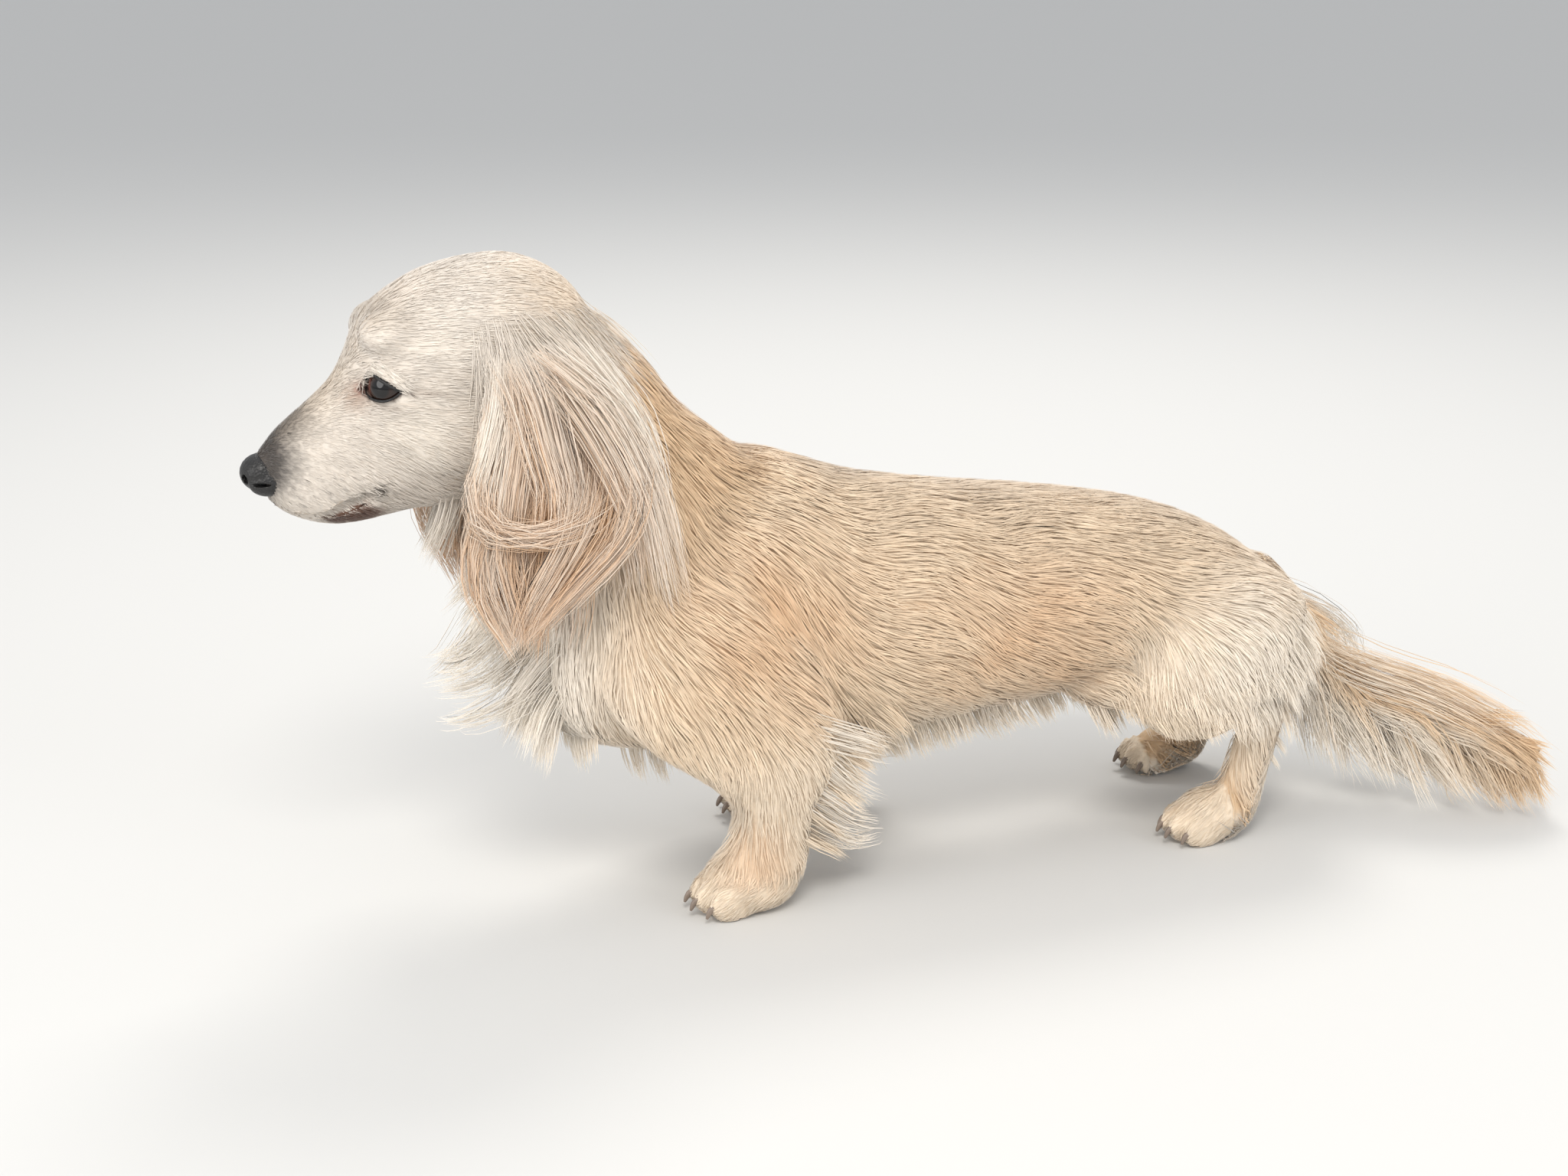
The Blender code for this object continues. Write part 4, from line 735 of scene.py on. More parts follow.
def step_back(points):
    """The points with the right limbs moved forward to where the left ones stand."""
    taken = smooth01((STEP_TOP - points[:, 2]) / (STEP_TOP - STEP_BOTTOM))
    back = np.where(points[:, 1] > 2.0, HIND_STEP_BACK, FRONT_STEP_BACK) * taken * (points[:, 0] < -1.5)
    moved = points.copy()
    moved[:, 1] -= back
    return moved


def regions(points):
    """How much each point belongs to each part of the body, as columns that add up to one."""
    p = step_back(points)
    head = ramp(beyond(points, HEAD_CUT), -0.8, 0.8)
    neck = ramp(beyond(points, NECK_CUT), -2.0, 1.5) * (1 - head)
    tail = ramp(-beyond(points, TAIL_CUT), -0.8, 0.8) * (points[:, 1] > 14)
    side = ramp(np.abs(points[:, 0]), 1.6, 3.0)
    fore = side * ramp(9.5 - p[:, 2], 0.0, 3.5) * (p[:, 1] < 2.0)
    hind = side * ramp(12.5 - p[:, 2], 0.0, 3.0) * ramp(p[:, 1], 6.5, 9.5) * (1 - tail)
    foot = ramp(2.9 - p[:, 2], 0.0, 1.2)
    fore, hind = fore * (1 - foot), hind * (1 - foot)
    low = (1 - head) * (1 - neck)
    fore, hind = fore * low, hind * low
    foot = foot * low * (1 - tail)
    torso = np.maximum(1 - head - neck - tail - fore - hind - foot, 0.0)
    table = np.stack([head, neck, torso, tail, fore, hind, foot], axis=1)
    return table / table.sum(axis=1, keepdims=True)


def by_part(table, values):
    return table @ np.array(values)


def nearness(points, centres, reach):
    """1 at the centres, falling to 0 at the reach."""
    far = np.full(len(points), 1e9)
    for centre in centres:
        far = np.minimum(far, np.linalg.norm(points - np.array(centre), axis=1))
    return 1 - smooth01(far / reach)


def nearness_across(points, centres, reach):
    """As nearness, for points on the side of the face, of which only y, z and the side count."""
    far = np.full(len(points), 1e9)
    for x, y, z in centres:
        same = (points[:, 0] - HEAD_X) * (x - HEAD_X) > 0
        far = np.where(same, np.minimum(far, np.hypot(points[:, 1] - y, points[:, 2] - z)), far)
    return 1 - smooth01(far / reach)


def waves(points, size, seed):
    """A smooth random number between about -1 and 1 at each point, with humps of about this size."""
    chance = np.random.default_rng(seed)
    total = np.zeros(len(points))
    for _ in range(6):
        way = unit(chance.normal(size=(1, 3)))[0]
        rate = 2 * math.pi / size * chance.uniform(0.7, 1.4)
        total += np.sin(points @ way * rate + chance.uniform(0, 6.28))
    return total / 2.6


def creases(points):
    """The fold that runs back from the outer corner of each eye, and the one under the lower lid."""
    found = np.zeros(len(points))
    for side in (-1, 1):
        a, b, depth = from_eye(points, side)
        line = 0.10 + 0.16 * (a - 0.9) + 0.05 * np.sin(3.0 * a)
        behind = ramp(a, 0.80, 1.10) * (1 - ramp(a, 1.3, 2.4)) * np.exp(-((b + line) / 0.11) ** 2)
        bag = 0.6 * ramp(1.1 - np.abs(a + 0.1), 0.0, 0.5) * np.exp(-((b + 0.78 - 0.25 * a * a) / 0.10) ** 2)
        found = np.maximum(found, (behind + bag) * (depth > -1.2))
    return found


def coat_depth(points, table):
    depth = by_part(table, COAT_DEPTH)
    muzzle = ramp(-points[:, 1], 22.5, 26.0) * table[:, HEAD]
    around_eye = nearness(points, EYE_CENTRES, 1.5)
    return depth * (1 - 0.55 * muzzle) * (1 - 0.5 * around_eye) + 0.03 * creases(points) * table[:, HEAD]


def tuft_length(points, table):
    length = by_part(table, TUFT_LENGTH)
    muzzle = ramp(-points[:, 1], 21.5, 26.5) * table[:, HEAD]
    length = length * (1 - 0.62 * muzzle)
    jaw = ramp(19.5 - points[:, 2], 0.0, 1.6) * ramp(points[:, 1], -25.0, -21.5) * table[:, HEAD]
    return length * (1 + 0.8 * jaw) * (1 - 0.45 * nearness(points, EYE_CENTRES, 2.0))


def lie_of_coat(points, normals, table):
    """The way that the hair lies at each point, along the skin."""
    x, y, z = points.T
    one, side = np.ones(len(x)), np.sign(x)
    cheek = ramp(22.5 - z, 0.0, 4.0)
    front = ramp(-normals[:, 1], -0.2, 0.8)
    rear = ramp(normals[:, 1], 0.0, 0.8)
    top = ramp(normals[:, 2], 0.1, 0.9)
    chest = ramp(-y, 11.0, 16.5)
    shoulder = ramp(-y, 2.0, 9.5) * (1 - top) * (1 - chest)
    path = np.array([row[:3] for row in smooth_rows(TAIL_STAYS, 8)])
    along = unit(np.gradient(path, axis=0))
    nearest = np.argmin(((points[:, None, :] - path[None]) ** 2).sum(axis=2), axis=1)
    fall = np.array([0, 0, -0.45]) * ramp(0.4 - normals[:, 2], 0.0, 1.0)[:, None]
    ways = {
        HEAD: (0.10 * np.sign(x - HEAD_X) * ramp(z, 23, 26), one, -0.05 - 0.65 * cheek),
        NECK: (0.10 * side, 0.50 - 0.75 * front, -0.95 - 0.05 * front),
        TORSO: (0.10 * side, 0.88 - 0.75 * chest - 0.40 * shoulder,
                -0.42 + 0.30 * top - 0.55 * chest - 0.45 * shoulder),
        TAIL: (along[nearest] + fall).T,
        FORE: (0.08 * side, 0.18 + 0.35 * rear, -one),
        HIND: (0.08 * side, 0.42 - 0.1 * rear, -one),
        FOOT: (0 * x, -0.9 * one, -0.55 * one),
    }
    ways = np.stack([np.stack(ways[part], axis=1) for part in range(FOOT + 1)])
    way = flattened(np.einsum("nk,kni->ni", table, unit(ways)), normals)
    swirl = 0.17 * waves(points, 6.0, 3) + 0.10 * waves(points, 1.8, 4)
    swirl *= 1 - 0.65 * table[:, HEAD]
    return unit(way + np.cross(normals, way) * swirl[:, None])


def blend(base, colour, share):
    share = np.clip(np.broadcast_to(share, len(base)), 0, 1)
    return base + (np.asarray(colour) - base) * share[:, None]


def around_lids(points):
    """1 on the edges of the lids, falling to 0 a little way off, and the same round the inner corners."""
    rims, corners = np.zeros(len(points)), np.zeros(len(points))
    upper, lower = lid_edges()
    for side in (-1, 1):
        a, b, depth = from_eye(points, side)
        outside = np.maximum(b - np.interp(a, *upper), np.interp(a, *lower) - b)
        outside = np.maximum(outside, np.abs(a + LID_FORWARD) - EYE_HALF_LENGTH)
        rims = np.maximum(rims, (1 - ramp(outside, 0.03, 0.17)) * (depth > 0))
        inner = np.hypot(a - upper[0, 0], b - upper[1, 0])
        corners = np.maximum(corners, (1 - ramp(inner, 0.05, 0.5)) * (depth > -0.5))
    return rims, corners


def lip_path():
    """The line of both lips, on the skin of the head."""
    left = smooth_rows(LIP_LINE, 2).tolist()
    both = [(-x, y, z) for x, y, z in left[:0:-1]] + left
    return [(HEAD_X + x, y, z) for x, y, z in both]


def markings(points, normals, ear=False):
    """The colour of the coat at each point, the same for the skin and the hair, with painted shade in the
    folds round the eyes and a painted highlight on the temples.
    """
    x, y, z = points.T
    if ear:
        down = ramp(24.9 - z, 0.0, 6.0) * (0.70 + 0.30 * waves(points, 2.2, 11))
        edges = ramp(-y, 18.3, 19.6) * ramp(z, 17.5, 20.5) + ramp(y, -15.0, -13.2) * ramp(z, 12.0, 16.0)
        colour = blend(np.tile(FACE, (len(x), 1)), APRICOT, down)
        return blend(colour, WHITE, edges * (0.62 + 0.3 * waves(points, 1.5, 12)))
    head, neck, torso, tail, fore, hind, foot = regions(points).T
    _, rear, top = normals.T
    body = torso + neck
    back = ramp(top, 0.2, 0.9)
    warm = 0.62 * nearness(points, SHOULDERS, 6.5) + 0.50 * nearness(points, FLANKS, 8.0)
    cheeks = nearness(points, both_sides(2.6, -21.6, 21.0, HEAD_X), 2.8)
    temple_sheen = nearness(points, both_sides(2.7, -20.6, 24.6, HEAD_X), 2.0)
    rims, corners = around_lids(points)
    at_nose = nearness(points, [(HEAD_X, -27.6, 19.9)], 2.25)
    at_nose = at_nose + 0.5 * nearness(points, [(HEAD_X, -26.3, 21.4)], 1.4)
    spots = [place for a, b in WHISKER_SPOTS for place in both_sides(1.1 + 0.16 * (27 + a), a, b, HEAD_X)]
    chins = [place for spot in CHIN_SPOTS for place in both_sides(*spot, HEAD_X)]
    line = np.array(LIP_LINE)
    below = ramp(np.interp(y, line[:, 1], line[:, 2]) - z, -0.05, 0.12)
    layers = [
        (GREYISH, 0.48 * body * back * (0.65 + 0.35 * waves(points, 6.0, 5))),
        (APRICOT, body * (1 - back) * warm * (0.85 + 0.25 * waves(points, 3.5, 6))),
        (GOLD, 0.75 * neck * ramp(rear, -0.5, 0.4)),
        (WHITE, 0.9 * ramp(9.0 - z, 0.0, 3.6) * torso),
        (WHITE, 0.9 * ramp(-y, 12.5, 17.0) * body * ramp(-rear, -0.3, 0.4)),
        (LEG_CREAM, 0.85 * (fore + hind + foot)),
        (WHITE, 0.62 * nearness(points, both_sides(4.6, 14.4, 9.6), 6.0) * (1 - tail)),
        (APRICOT, 0.45 * nearness(step_back(points), [(6.2, -9.0, 3.0)], 2.4)),
        (WHITE, 0.6 * hind * ramp(rear, -0.2, 0.7)),
        (GOLD, 0.70 * tail * ramp(top, -0.2, 0.7)),
        (GOLD, 0.45 * tail * ramp(y, 24.0, 28.0)),
        (WHITE, 0.85 * tail * ramp(-top, -0.5, 0.4) * ramp(27.5 - y, 0.0, 5.0)),
        (FACE, head),
        (MUZZLE_TOP, 0.65 * ramp(-y, 21.0, 25.0) * ramp(top, 0.1, 0.8) * head),
        (CREAM, 0.6 * ramp(y, -20.0, -15.0) * head),
        # The cheeks are whitish hair; the temples are whitened as a painted highlight, the sheen of the short
        # skull hair.
        (WHITE, (0.75 * cheeks + 0.4 * temple_sheen) * head),
        (TEAR_STAIN, 0.7 * nearness(points, both_sides(1.35, -24.1, 22.6, HEAD_X), 1.0)),
        # Painted shade: the folds behind the outer corners of the eyes and under the lower lids are darkened
        # as if shade lay in them.
        (CREASE_SHADE, 0.5 * creases(points) * head),
        (INNER_CORNER, 0.75 * corners),
        (LID_EDGE, 0.9 * rims),
        (SOOT, np.clip(1.6 * at_nose * ramp(z, 17.6, 18.8), 0, 0.92) * head),
        (SOOT, 0.40 * ramp(nearness_across(points, spots, 0.16), 0.1, 0.8) * head),
        (LOWER_LIP, 2.2 * nearness(points, chins, 1.1) * below * head),
        (LIP_EDGE, 1.5 * nearness(points, lip_path(), 0.36) * head),
    ]
    colour = np.tile(CREAM, (len(x), 1))
    for paint, share in layers:
        colour = blend(colour, paint, share)
    return np.clip(colour * (1 + 0.05 * waves(points, 1.2, 8))[:, None], 0, 1)


def new_material(name, rough=0.6):
    material = bpy.data.materials.new(name)
    material.use_nodes = True
    shader = material.node_tree.nodes["Principled BSDF"]
    shader.inputs["Roughness"].default_value = rough
    return material, material.node_tree, shader


def set_inputs(tree, node, inputs):
    """Sets inputs of a node, each to a value or to the output that feeds it."""
    for key, value in inputs.items():
        if isinstance(value, bpy.types.NodeSocket):
            tree.links.new(value, node.inputs[key])
        else:
            node.inputs[key].default_value = value


def add_node(tree, kind, inputs=None, **settings):
    """The outputs of a new node."""
    node = tree.nodes.new("ShaderNode" + kind)
    for key, value in settings.items():
        setattr(node, key, value)
    set_inputs(tree, node, inputs or {})
    return node.outputs


def scaled_marking(tree, share):
    """The marking's colour times a share."""
    marking = add_node(tree, "Attribute", attribute_name="marking")
    return add_node(tree, "VectorMath", {0: marking["Color"], "Scale": share}, operation="SCALE")["Vector"]


def hair_material(name):
    """Coat colour from the marking, with painted shade that darkens each hair towards its root, and a little
    different from tuft to tuft.
    """
    material, tree, shader = new_material(name, 0.5)
    hair = add_node(tree, "Attribute", attribute_name="hair")
    parts = add_node(tree, "SeparateColor", {"Color": hair["Color"]})
    # Painted shade: darker towards the root of each hair, where the coat lies over it.
    along = add_node(tree, "MapRange", {"Value": parts["Red"], "To Min": 0.92, "To Max": 1.06})
    varied = add_node(tree, "MapRange", {"Value": parts["Green"], "To Min": 0.90, "To Max": 1.09})
    times = add_node(tree, "Math", {0: along["Result"], 1: varied["Result"]}, operation="MULTIPLY")
    set_inputs(tree, shader, {"Base Color": scaled_marking(tree, times["Value"]), "Specular IOR Level": 0.35,
                              "Sheen Weight": 0.35, "Sheen Roughness": 0.5})
    return material


def skin_material(name):
    """The skin under the coat, in the same marking, broken up by short flat hair."""
    material, tree, shader = new_material(name, 0.75)
    where = add_node(tree, "TexCoord")
    stretch = add_node(tree, "Mapping", {"Vector": where["Object"], "Scale": (900, 220, 500)})
    noise = add_node(tree, "TexNoise", {"Vector": stretch["Vector"], "Scale": 1.0, "Detail": 3.0})
    shade = add_node(tree, "MapRange", {"Value": noise["Fac"], "From Min": 0.3, "From Max": 0.7,
                                        "To Min": 0.88, "To Max": 1.0})
    bump = add_node(tree, "Bump", {"Height": noise["Fac"], "Strength": 0.5, "Distance": 0.0006})
    set_inputs(tree, shader, {"Base Color": scaled_marking(tree, shade["Result"]), "Normal": bump["Normal"],
                              "Specular IOR Level": 0.2})
    return material


def bare_material(name, colour, rough, bump_size, bump_depth, coat=0.0):
    """Bare skin or horn: one colour broken up by noise, with fine bumps."""
    material, tree, shader = new_material(name, rough)
    where = add_node(tree, "TexCoord")["Object"]
    cells = add_node(tree, "TexVoronoi", {"Vector": where, "Scale": 1 / bump_size})
    noise = add_node(tree, "TexNoise", {"Vector": where, "Scale": 0.35 / bump_size})
    dark, pale = ((*[min(c * times, 1) for c in colour], 1) for times in (0.75, 1.35))
    mix = add_node(tree, "Mix", {"Factor": noise["Fac"], 6: dark, 7: pale}, data_type="RGBA")
    bump = add_node(tree, "Bump", {"Height": cells["Distance"], "Strength": 0.6, "Distance": bump_depth})
    set_inputs(tree, shader, {"Base Color": mix[2], "Normal": bump["Normal"], "Coat Weight": coat,
                              "Coat Roughness": 0.15})
    return material


def eye_material():
    material, tree, shader = new_material("eye_wet", 0.06)
    marking = add_node(tree, "Attribute", attribute_name="marking")
    set_inputs(tree, shader, {"Base Color": marking["Color"], "Specular IOR Level": 0.3,
                              "Coat Weight": 0.45, "Coat Roughness": 0.02})
    return material


def dress(obj, material):
    """Moves the object into the scene's frame and gives it one material and smooth shading."""
    obj.data.transform(Matrix.Translation(SHIFT))
    obj.data.materials.clear()
    obj.data.materials.append(material)
    obj.data.shade_smooth()


def set_colours(mesh, name, colours):
    layer = mesh.color_attributes.new(name, "FLOAT_COLOR", "POINT")
    rows = np.ones((len(colours), 4), np.float32)
    rows[:, :colours.shape[1]] = colours
    layer.data.foreach_set("color", rows.ravel())


def chart_places(points, normals):
    """Places on an unwrap of the skin: six charts by the way that it faces, laid side by side."""
    axis = np.argmax(np.abs(normals), axis=1)
    sign = (normals[np.arange(len(normals)), axis] > 0).astype(int)
    chart = axis * 2 + sign
    low, high = points.min(axis=0) - 0.2, points.max(axis=0) + 0.2
    places = (points - low) / (high - low).max()
    flat = np.empty((len(points), 2))
    for k, (a, b) in enumerate(((1, 2), (0, 2), (0, 1))):
        chosen = axis == k
        flat[chosen] = places[chosen][:, (a, b)]
    column, row = chart % 3, chart // 3
    return np.stack([(column + 0.02 + 0.96 * flat[:, 0]) / 3, (row + 0.02 + 0.96 * flat[:, 1]) / 2], axis=1)


class Skin:
    """A skin as numbers in the body's own frame: points, normals, triangles and a tree."""

    def __init__(self, obj, *more):
        self.points = read_points(obj.data) / CM
        self.normals = read_points(obj.data, "normal")
        self.faces = triangles_of(obj.data)
        points, faces = self.points, self.faces
        for other in more:
            faces = np.concatenate([faces, other.faces + len(points)])
            points = np.concatenate([points, other.points])
        self.tree = BVHTree.FromPolygons([Vector(p) for p in points], faces.tolist())
        a, b, c = (self.points[self.faces[:, k]] for k in range(3))
        self.areas = np.linalg.norm(np.cross(b - a, c - a), axis=1) / 2

    def nearest(self, places):
        """The points of the skin nearest to the places, its normals there and how far off they are."""
        near, outs, _, far = zip(*(self.tree.find_nearest(place) for place in places.tolist()))
        return np.array(near), np.array(outs), np.array(far)

    def scatter(self, density, chance):
        """Random points on the skin, so many per square centimetre, with the smooth normals there."""
        wanted = self.areas * density[self.faces].mean(axis=1)
        total = int(round(wanted.sum()))
        pick = chance.choice(len(wanted), size=total, p=wanted / wanted.sum())
        u, v = chance.random((2, total))
        over = u + v > 1
        u[over], v[over] = 1 - u[over], 1 - v[over]
        shares = np.stack([1 - u - v, u, v], axis=1)
        points, normals = (np.einsum("nk,nki->ni", shares, rows[self.faces[pick]])
                           for rows in (self.points, self.normals))
        return points, unit(normals)


class Strands:
    """Thin tapered hairs as closed meshes, gathered for one or more coat pieces."""

    def __init__(self):
        self.groups = []

    def add(self, paths, normals, colours, width, chance, vary=(0.7, 1.3), spread=0.35, keep=slice(None)):
        """Hairs on paths (n, m, 3), with the normals where they grow, their colours and half width.

        Their widths vary by a share, and the ways that their flat sides face are spread about the normals.
        """
        widths = width * chance.uniform(*vary, len(paths))
        flats = unit(normals + chance.normal(scale=spread, size=normals.shape))
        self.groups.append([column[keep] for column in (paths, flats, widths, colours, normals)])

    def build(self, name, material, profile, softness):
        """The hairs as pieces of fewer triangles than the most."""
        columns = [np.concatenate(column) for column in zip(*self.groups)]
        paths = columns[0]
        per_hair = (paths.shape[1] - 1) * 6 - 2
        count = max(1, math.ceil(len(paths) * per_hair / MOST_TRIANGLES))
        order = np.argsort(paths[:, 0, 1], kind="stable")
        pieces = []
        for number, chosen in enumerate(np.array_split(order, count), 1):
            obj = self.piece(f"{name}_{number}" if count > 1 else name,
                             *[column[chosen] for column in columns], profile, softness)
            obj.data.materials.append(material)
            pieces.append(obj)
        return pieces

    @staticmethod
    def piece(name, paths, flats, widths, colours, normals, profile, softness):
        """One piece. A hair is a tapered prism of three sides that ends in a point."""
        n, m = paths.shape[:2]
        rings = m - 1
        along = unit(np.gradient(paths, axis=1))
        across = unit(np.cross(along, flats[:, None, :]))
        out = np.cross(across, along)
        half = widths[:, None, None] * np.array(profile)[None, :rings, None]
        ring = np.stack([paths[:, :rings] + across[:, :rings] * half,
                         paths[:, :rings] + out[:, :rings] * half * HAIR_THICKNESS,
                         paths[:, :rings] - across[:, :rings] * half], axis=2)
        per = rings * 3 + 1
        points = np.concatenate([ring.reshape(n, rings * 3, 3), paths[:, -1:, :]], axis=1)
        faces = [(0, 1, 2)]
        for r in range(rings - 1):
            for k in range(3):
                a, b = r * 3 + k, r * 3 + (k + 1) % 3
                faces += [(a, b + 3, b), (a, a + 3, b + 3)]
        last = (rings - 1) * 3
        faces += [(last + (k + 1) % 3, last + k, per - 1) for k in range(3)]
        faces = (np.array(faces)[None] + (np.arange(n) * per)[:, None, None]).reshape(-1, 3)
        corners = faces.ravel()
        mesh = bpy.data.meshes.new(name)
        mesh.vertices.add(n * per)
        write_points(mesh, in_scene(points.reshape(-1, 3)))
        mesh.loops.add(len(corners))
        mesh.loops.foreach_set("vertex_index", corners.astype(np.int32))
        mesh.polygons.add(len(faces))
        mesh.polygons.foreach_set("loop_start", (np.arange(len(faces)) * 3).astype(np.int32))
        mesh.polygons.foreach_set("use_smooth", np.ones(len(faces), bool))
        mesh.update(calc_edges=True)
        # The front is shaded partly as the skin under it, and the back as if that faced the other way.
        sides = np.stack([across[:, :rings], out[:, :rings], -across[:, :rings]], axis=2)
        sides = np.concatenate([sides.reshape(n, rings * 3, 3), out[:, -1:, :]], axis=1)
        shown = unit(sides * (1 - softness) + normals[:, None, :] * softness).reshape(-1, 3)
        sides[:, -1] *= -1
        turned = unit(sides * (1 - softness) - normals[:, None, :] * softness).reshape(-1, 3)
        behind = [False] + [k == 2 for _ in range(rings - 1) for k in range(3) for _ in (0, 1)]
        behind = np.tile(np.repeat(behind + [False, False, True], 3), n)[:, None]
        mesh.normals_split_custom_set(np.where(behind, turned[corners], shown[corners]))
        t = np.concatenate([np.repeat(np.linspace(0, 1, m)[:rings], 3), [1.0]])
        vary = np.repeat(np.random.default_rng(n).random(n), per)
        set_colours(mesh, "marking", np.repeat(colours, per, axis=0))
        # The first channel of hair runs from 0 at the root to 1 at the tip, and the material darkens the root
        # by it as painted shade.
        set_colours(mesh, "hair", np.stack([np.tile(t, n), vary, vary * 0], axis=1))
        patch = np.stack([np.tile([0.0, 0.5, 1.0], rings).tolist() + [0.5], t], axis=1) * UV_PATCH
        places = (chart_places(paths[:, 0], normals)[:, None, :] + patch[None]).reshape(-1, 2)
        layer = mesh.uv_layers.new(name="OFBake")
        layer.uv.foreach_set("vector", places[corners].astype(np.float32).ravel())
        obj = bpy.data.objects.new(name, mesh)
        bpy.context.scene.collection.objects.link(obj)
        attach(obj, "root")
        return obj


def lay_tufts(skin, points, normals, ways, lengths, heights):
    """Paths of short tufts that run along the skin from their roots and rise from it to their heights."""
    paths = [points - normals * ROOT_DEPTH]
    spot, way = points, ways
    for k in range(1, SHORT_STEPS + 1):
        rise = heights * (0.25 + 0.75 * (k / SHORT_STEPS) ** 0.8)
        spot, normal, _ = skin.nearest(spot + way * (lengths / SHORT_STEPS)[:, None])
        way = flattened(way, normal)
        paths.append(spot + normal * rise[:, None])
    return np.stack(paths, axis=1)


def gather_tips(paths, per_clump, pull, reach, chance):
    """Draws the tips of neighbouring tufts together, so that they part into locks."""
    count = max(1, len(paths) // per_clump)
    leaders = chance.choice(len(paths), count, replace=False)
    places = KDTree(count)
    for k, leader in enumerate(leaders):
        places.insert(paths[leader, 0], k)
    places.balance()
    _, found, far = zip(*(places.find(root) for root in paths[:, 0].tolist()))
    t = np.linspace(0, 1, paths.shape[1])
    share = pull * np.clip(1.3 - np.array(far) / reach, 0, 1)[:, None] * t[None] ** 1.4
    return paths + (paths[leaders[list(found)]] - paths) * share[..., None]


def waved(paths, across, amplitude, turns, phases):
    """The paths swung from side to side, more towards their tips."""
    t = np.linspace(0, 1, paths.shape[1])
    swing = amplitude[:, None] * np.sin(turns * 2 * math.pi * t[None] + phases[:, None]) * t[None] ** 0.6
    return paths + across[:, None, :] * swing[..., None]


def away_from_eyes(paths):
    """Which hairs stay off the openings of the lids."""
    keep = np.ones(len(paths), bool)
    upper, lower = lid_edges()
    for side in (-1, 1):
        for k in (0, paths.shape[1] // 2, paths.shape[1] - 1):
            a, b, depth = from_eye(paths[:, k], side)
            margin = 0.11 if k == 0 else 0.02
            inside = (b < np.interp(a, *upper) + margin) & (b > np.interp(a, *lower) - margin - 0.03)
            inside &= (np.abs(a + LID_FORWARD) < EYE_HALF_LENGTH + margin) & (depth > 0)
            keep &= ~inside
    return keep


def away_from_lips(paths):
    """Which hairs stay off the line of the mouth."""
    far = np.linalg.norm(paths[:, :, None] - np.array(lip_path()), axis=3).min(axis=2)
    far[:, 0] -= 0.10
    return far.min(axis=1) > 0.11


def coat_tufts(skin, strands, parts, share, clump, pull, chance):
    """Tufts over these parts of the skin, in the numbers, lengths and lie of each region."""
    table = regions(skin.points)
    density = by_part(table, TUFTS_PER_CM2) * sum(table[:, part] for part in parts) * share
    density *= 1 + 0.9 * ramp(-skin.points[:, 1], 22.0, 26.0) * table[:, HEAD]
    points, normals = skin.scatter(density, chance)
    count = len(points)
    table = regions(points)
    ways = lie_of_coat(points, normals, table)
    ways = unit(ways + np.cross(normals, ways) * chance.normal(scale=0.09, size=count)[:, None])
    lengths = tuft_length(points, table) * chance.uniform(0.7, 1.2, count)
    heights = coat_depth(points, table) * chance.uniform(0.75, 1.12, count)
    paths = lay_tufts(skin, points, normals, ways, lengths, heights)
    paths = gather_tips(paths, clump, pull, 0.6, chance)
    keep = away_from_eyes(paths) & away_from_lips(paths)
    strands.add(paths, normals, markings(points, normals), by_part(table, TUFT_WIDTH), chance, (0.75, 1.25),
                keep=keep)


def lid_hairs(skin, strands, chance):
    """The pale hairs over each eye, that slant back along the upper lid and hang a little over its edge."""
    upper, _ = lid_edges()
    for side in (-1, 1):
        middle, out, back, up = eye_arrays(side)
        a = chance.uniform(-1.0, 0.8, LID_HAIRS)
        b = np.interp(a, *upper) + 0.07 + 0.6 * chance.random(LID_HAIRS) ** 1.3
        places = middle / CM + out * 0.9 + a[:, None] * back + b[:, None] * up
        points, normals, _ = skin.nearest(places)
        lie = unit(back - 0.62 * up) + chance.normal(scale=0.10, size=(LID_HAIRS, 3))
        lengths = chance.uniform(0.45, 0.95, LID_HAIRS)
        heights = chance.uniform(0.07, 0.15, LID_HAIRS)
        paths = lay_tufts(skin, points, normals, flattened(lie, normals), lengths, heights)
        colours = blend(markings(points, normals), WHITE, 0.55)
        normals = np.where(((normals @ out) > 0.2)[:, None], normals, out)
        strands.add(paths, normals, colours, LID_HAIR_WIDTH, chance)


def crown_hairs(skin, strands, chance):
    """The fine hair that runs from the sides of the skull over the tops of the ears."""
    for side in (1, -1):
        y = chance.uniform(-19.5, -14.2, CROWN_HAIRS)
        z = chance.uniform(24.0, 26.3, CROWN_HAIRS) - 0.25 * (y + 17.0) ** 2 / 4.0
        step_length = chance.uniform(2.0, 4.2, CROWN_HAIRS) / EAR_STEPS
        lean = chance.normal(scale=0.08, size=CROWN_HAIRS) + 0.10 * np.sin(2.1 * y)
        rise = chance.uniform(0.05, 0.20, CROWN_HAIRS)
        paths, normals = [], None
        for k in range(EAR_STEPS + 1):
            hits = [skin.tree.ray_cast((BESIDE_HEAD * side, a, b), (-side, 0, 0)) for a, b in zip(y, z)]
            laid = np.array([hit[0] or (HEAD_X + side * 2.0, a, b) for hit, a, b in zip(hits, y, z)])
            outs = np.array([hit[1] or (side, 0, 0) for hit in hits])
            bend = k / EAR_STEPS
            lift = rise * (0.5 + 0.5 * bend) if k else np.full(CROWN_HAIRS, -ROOT_DEPTH)
            paths.append(laid + outs * lift[:, None] + (side * 0.04 * k, 0, 0))
            normals = outs if normals is None else normals
            along = (0.75 - 0.35 * bend) * ramp(y, -19.5, -15.5) + 0.12 - 0.10 * bend + lean
            drop = 0.75 + 0.25 * bend
            size = np.hypot(along, drop)
            y, z = y + along / size * step_length, z - drop / size * step_length
        colours = blend(markings(paths[0], normals), FACE, chance.uniform(0.3, 0.9, CROWN_HAIRS))
        strands.add(np.stack(paths, axis=1), normals, colours, WISP_WIDTH, chance)


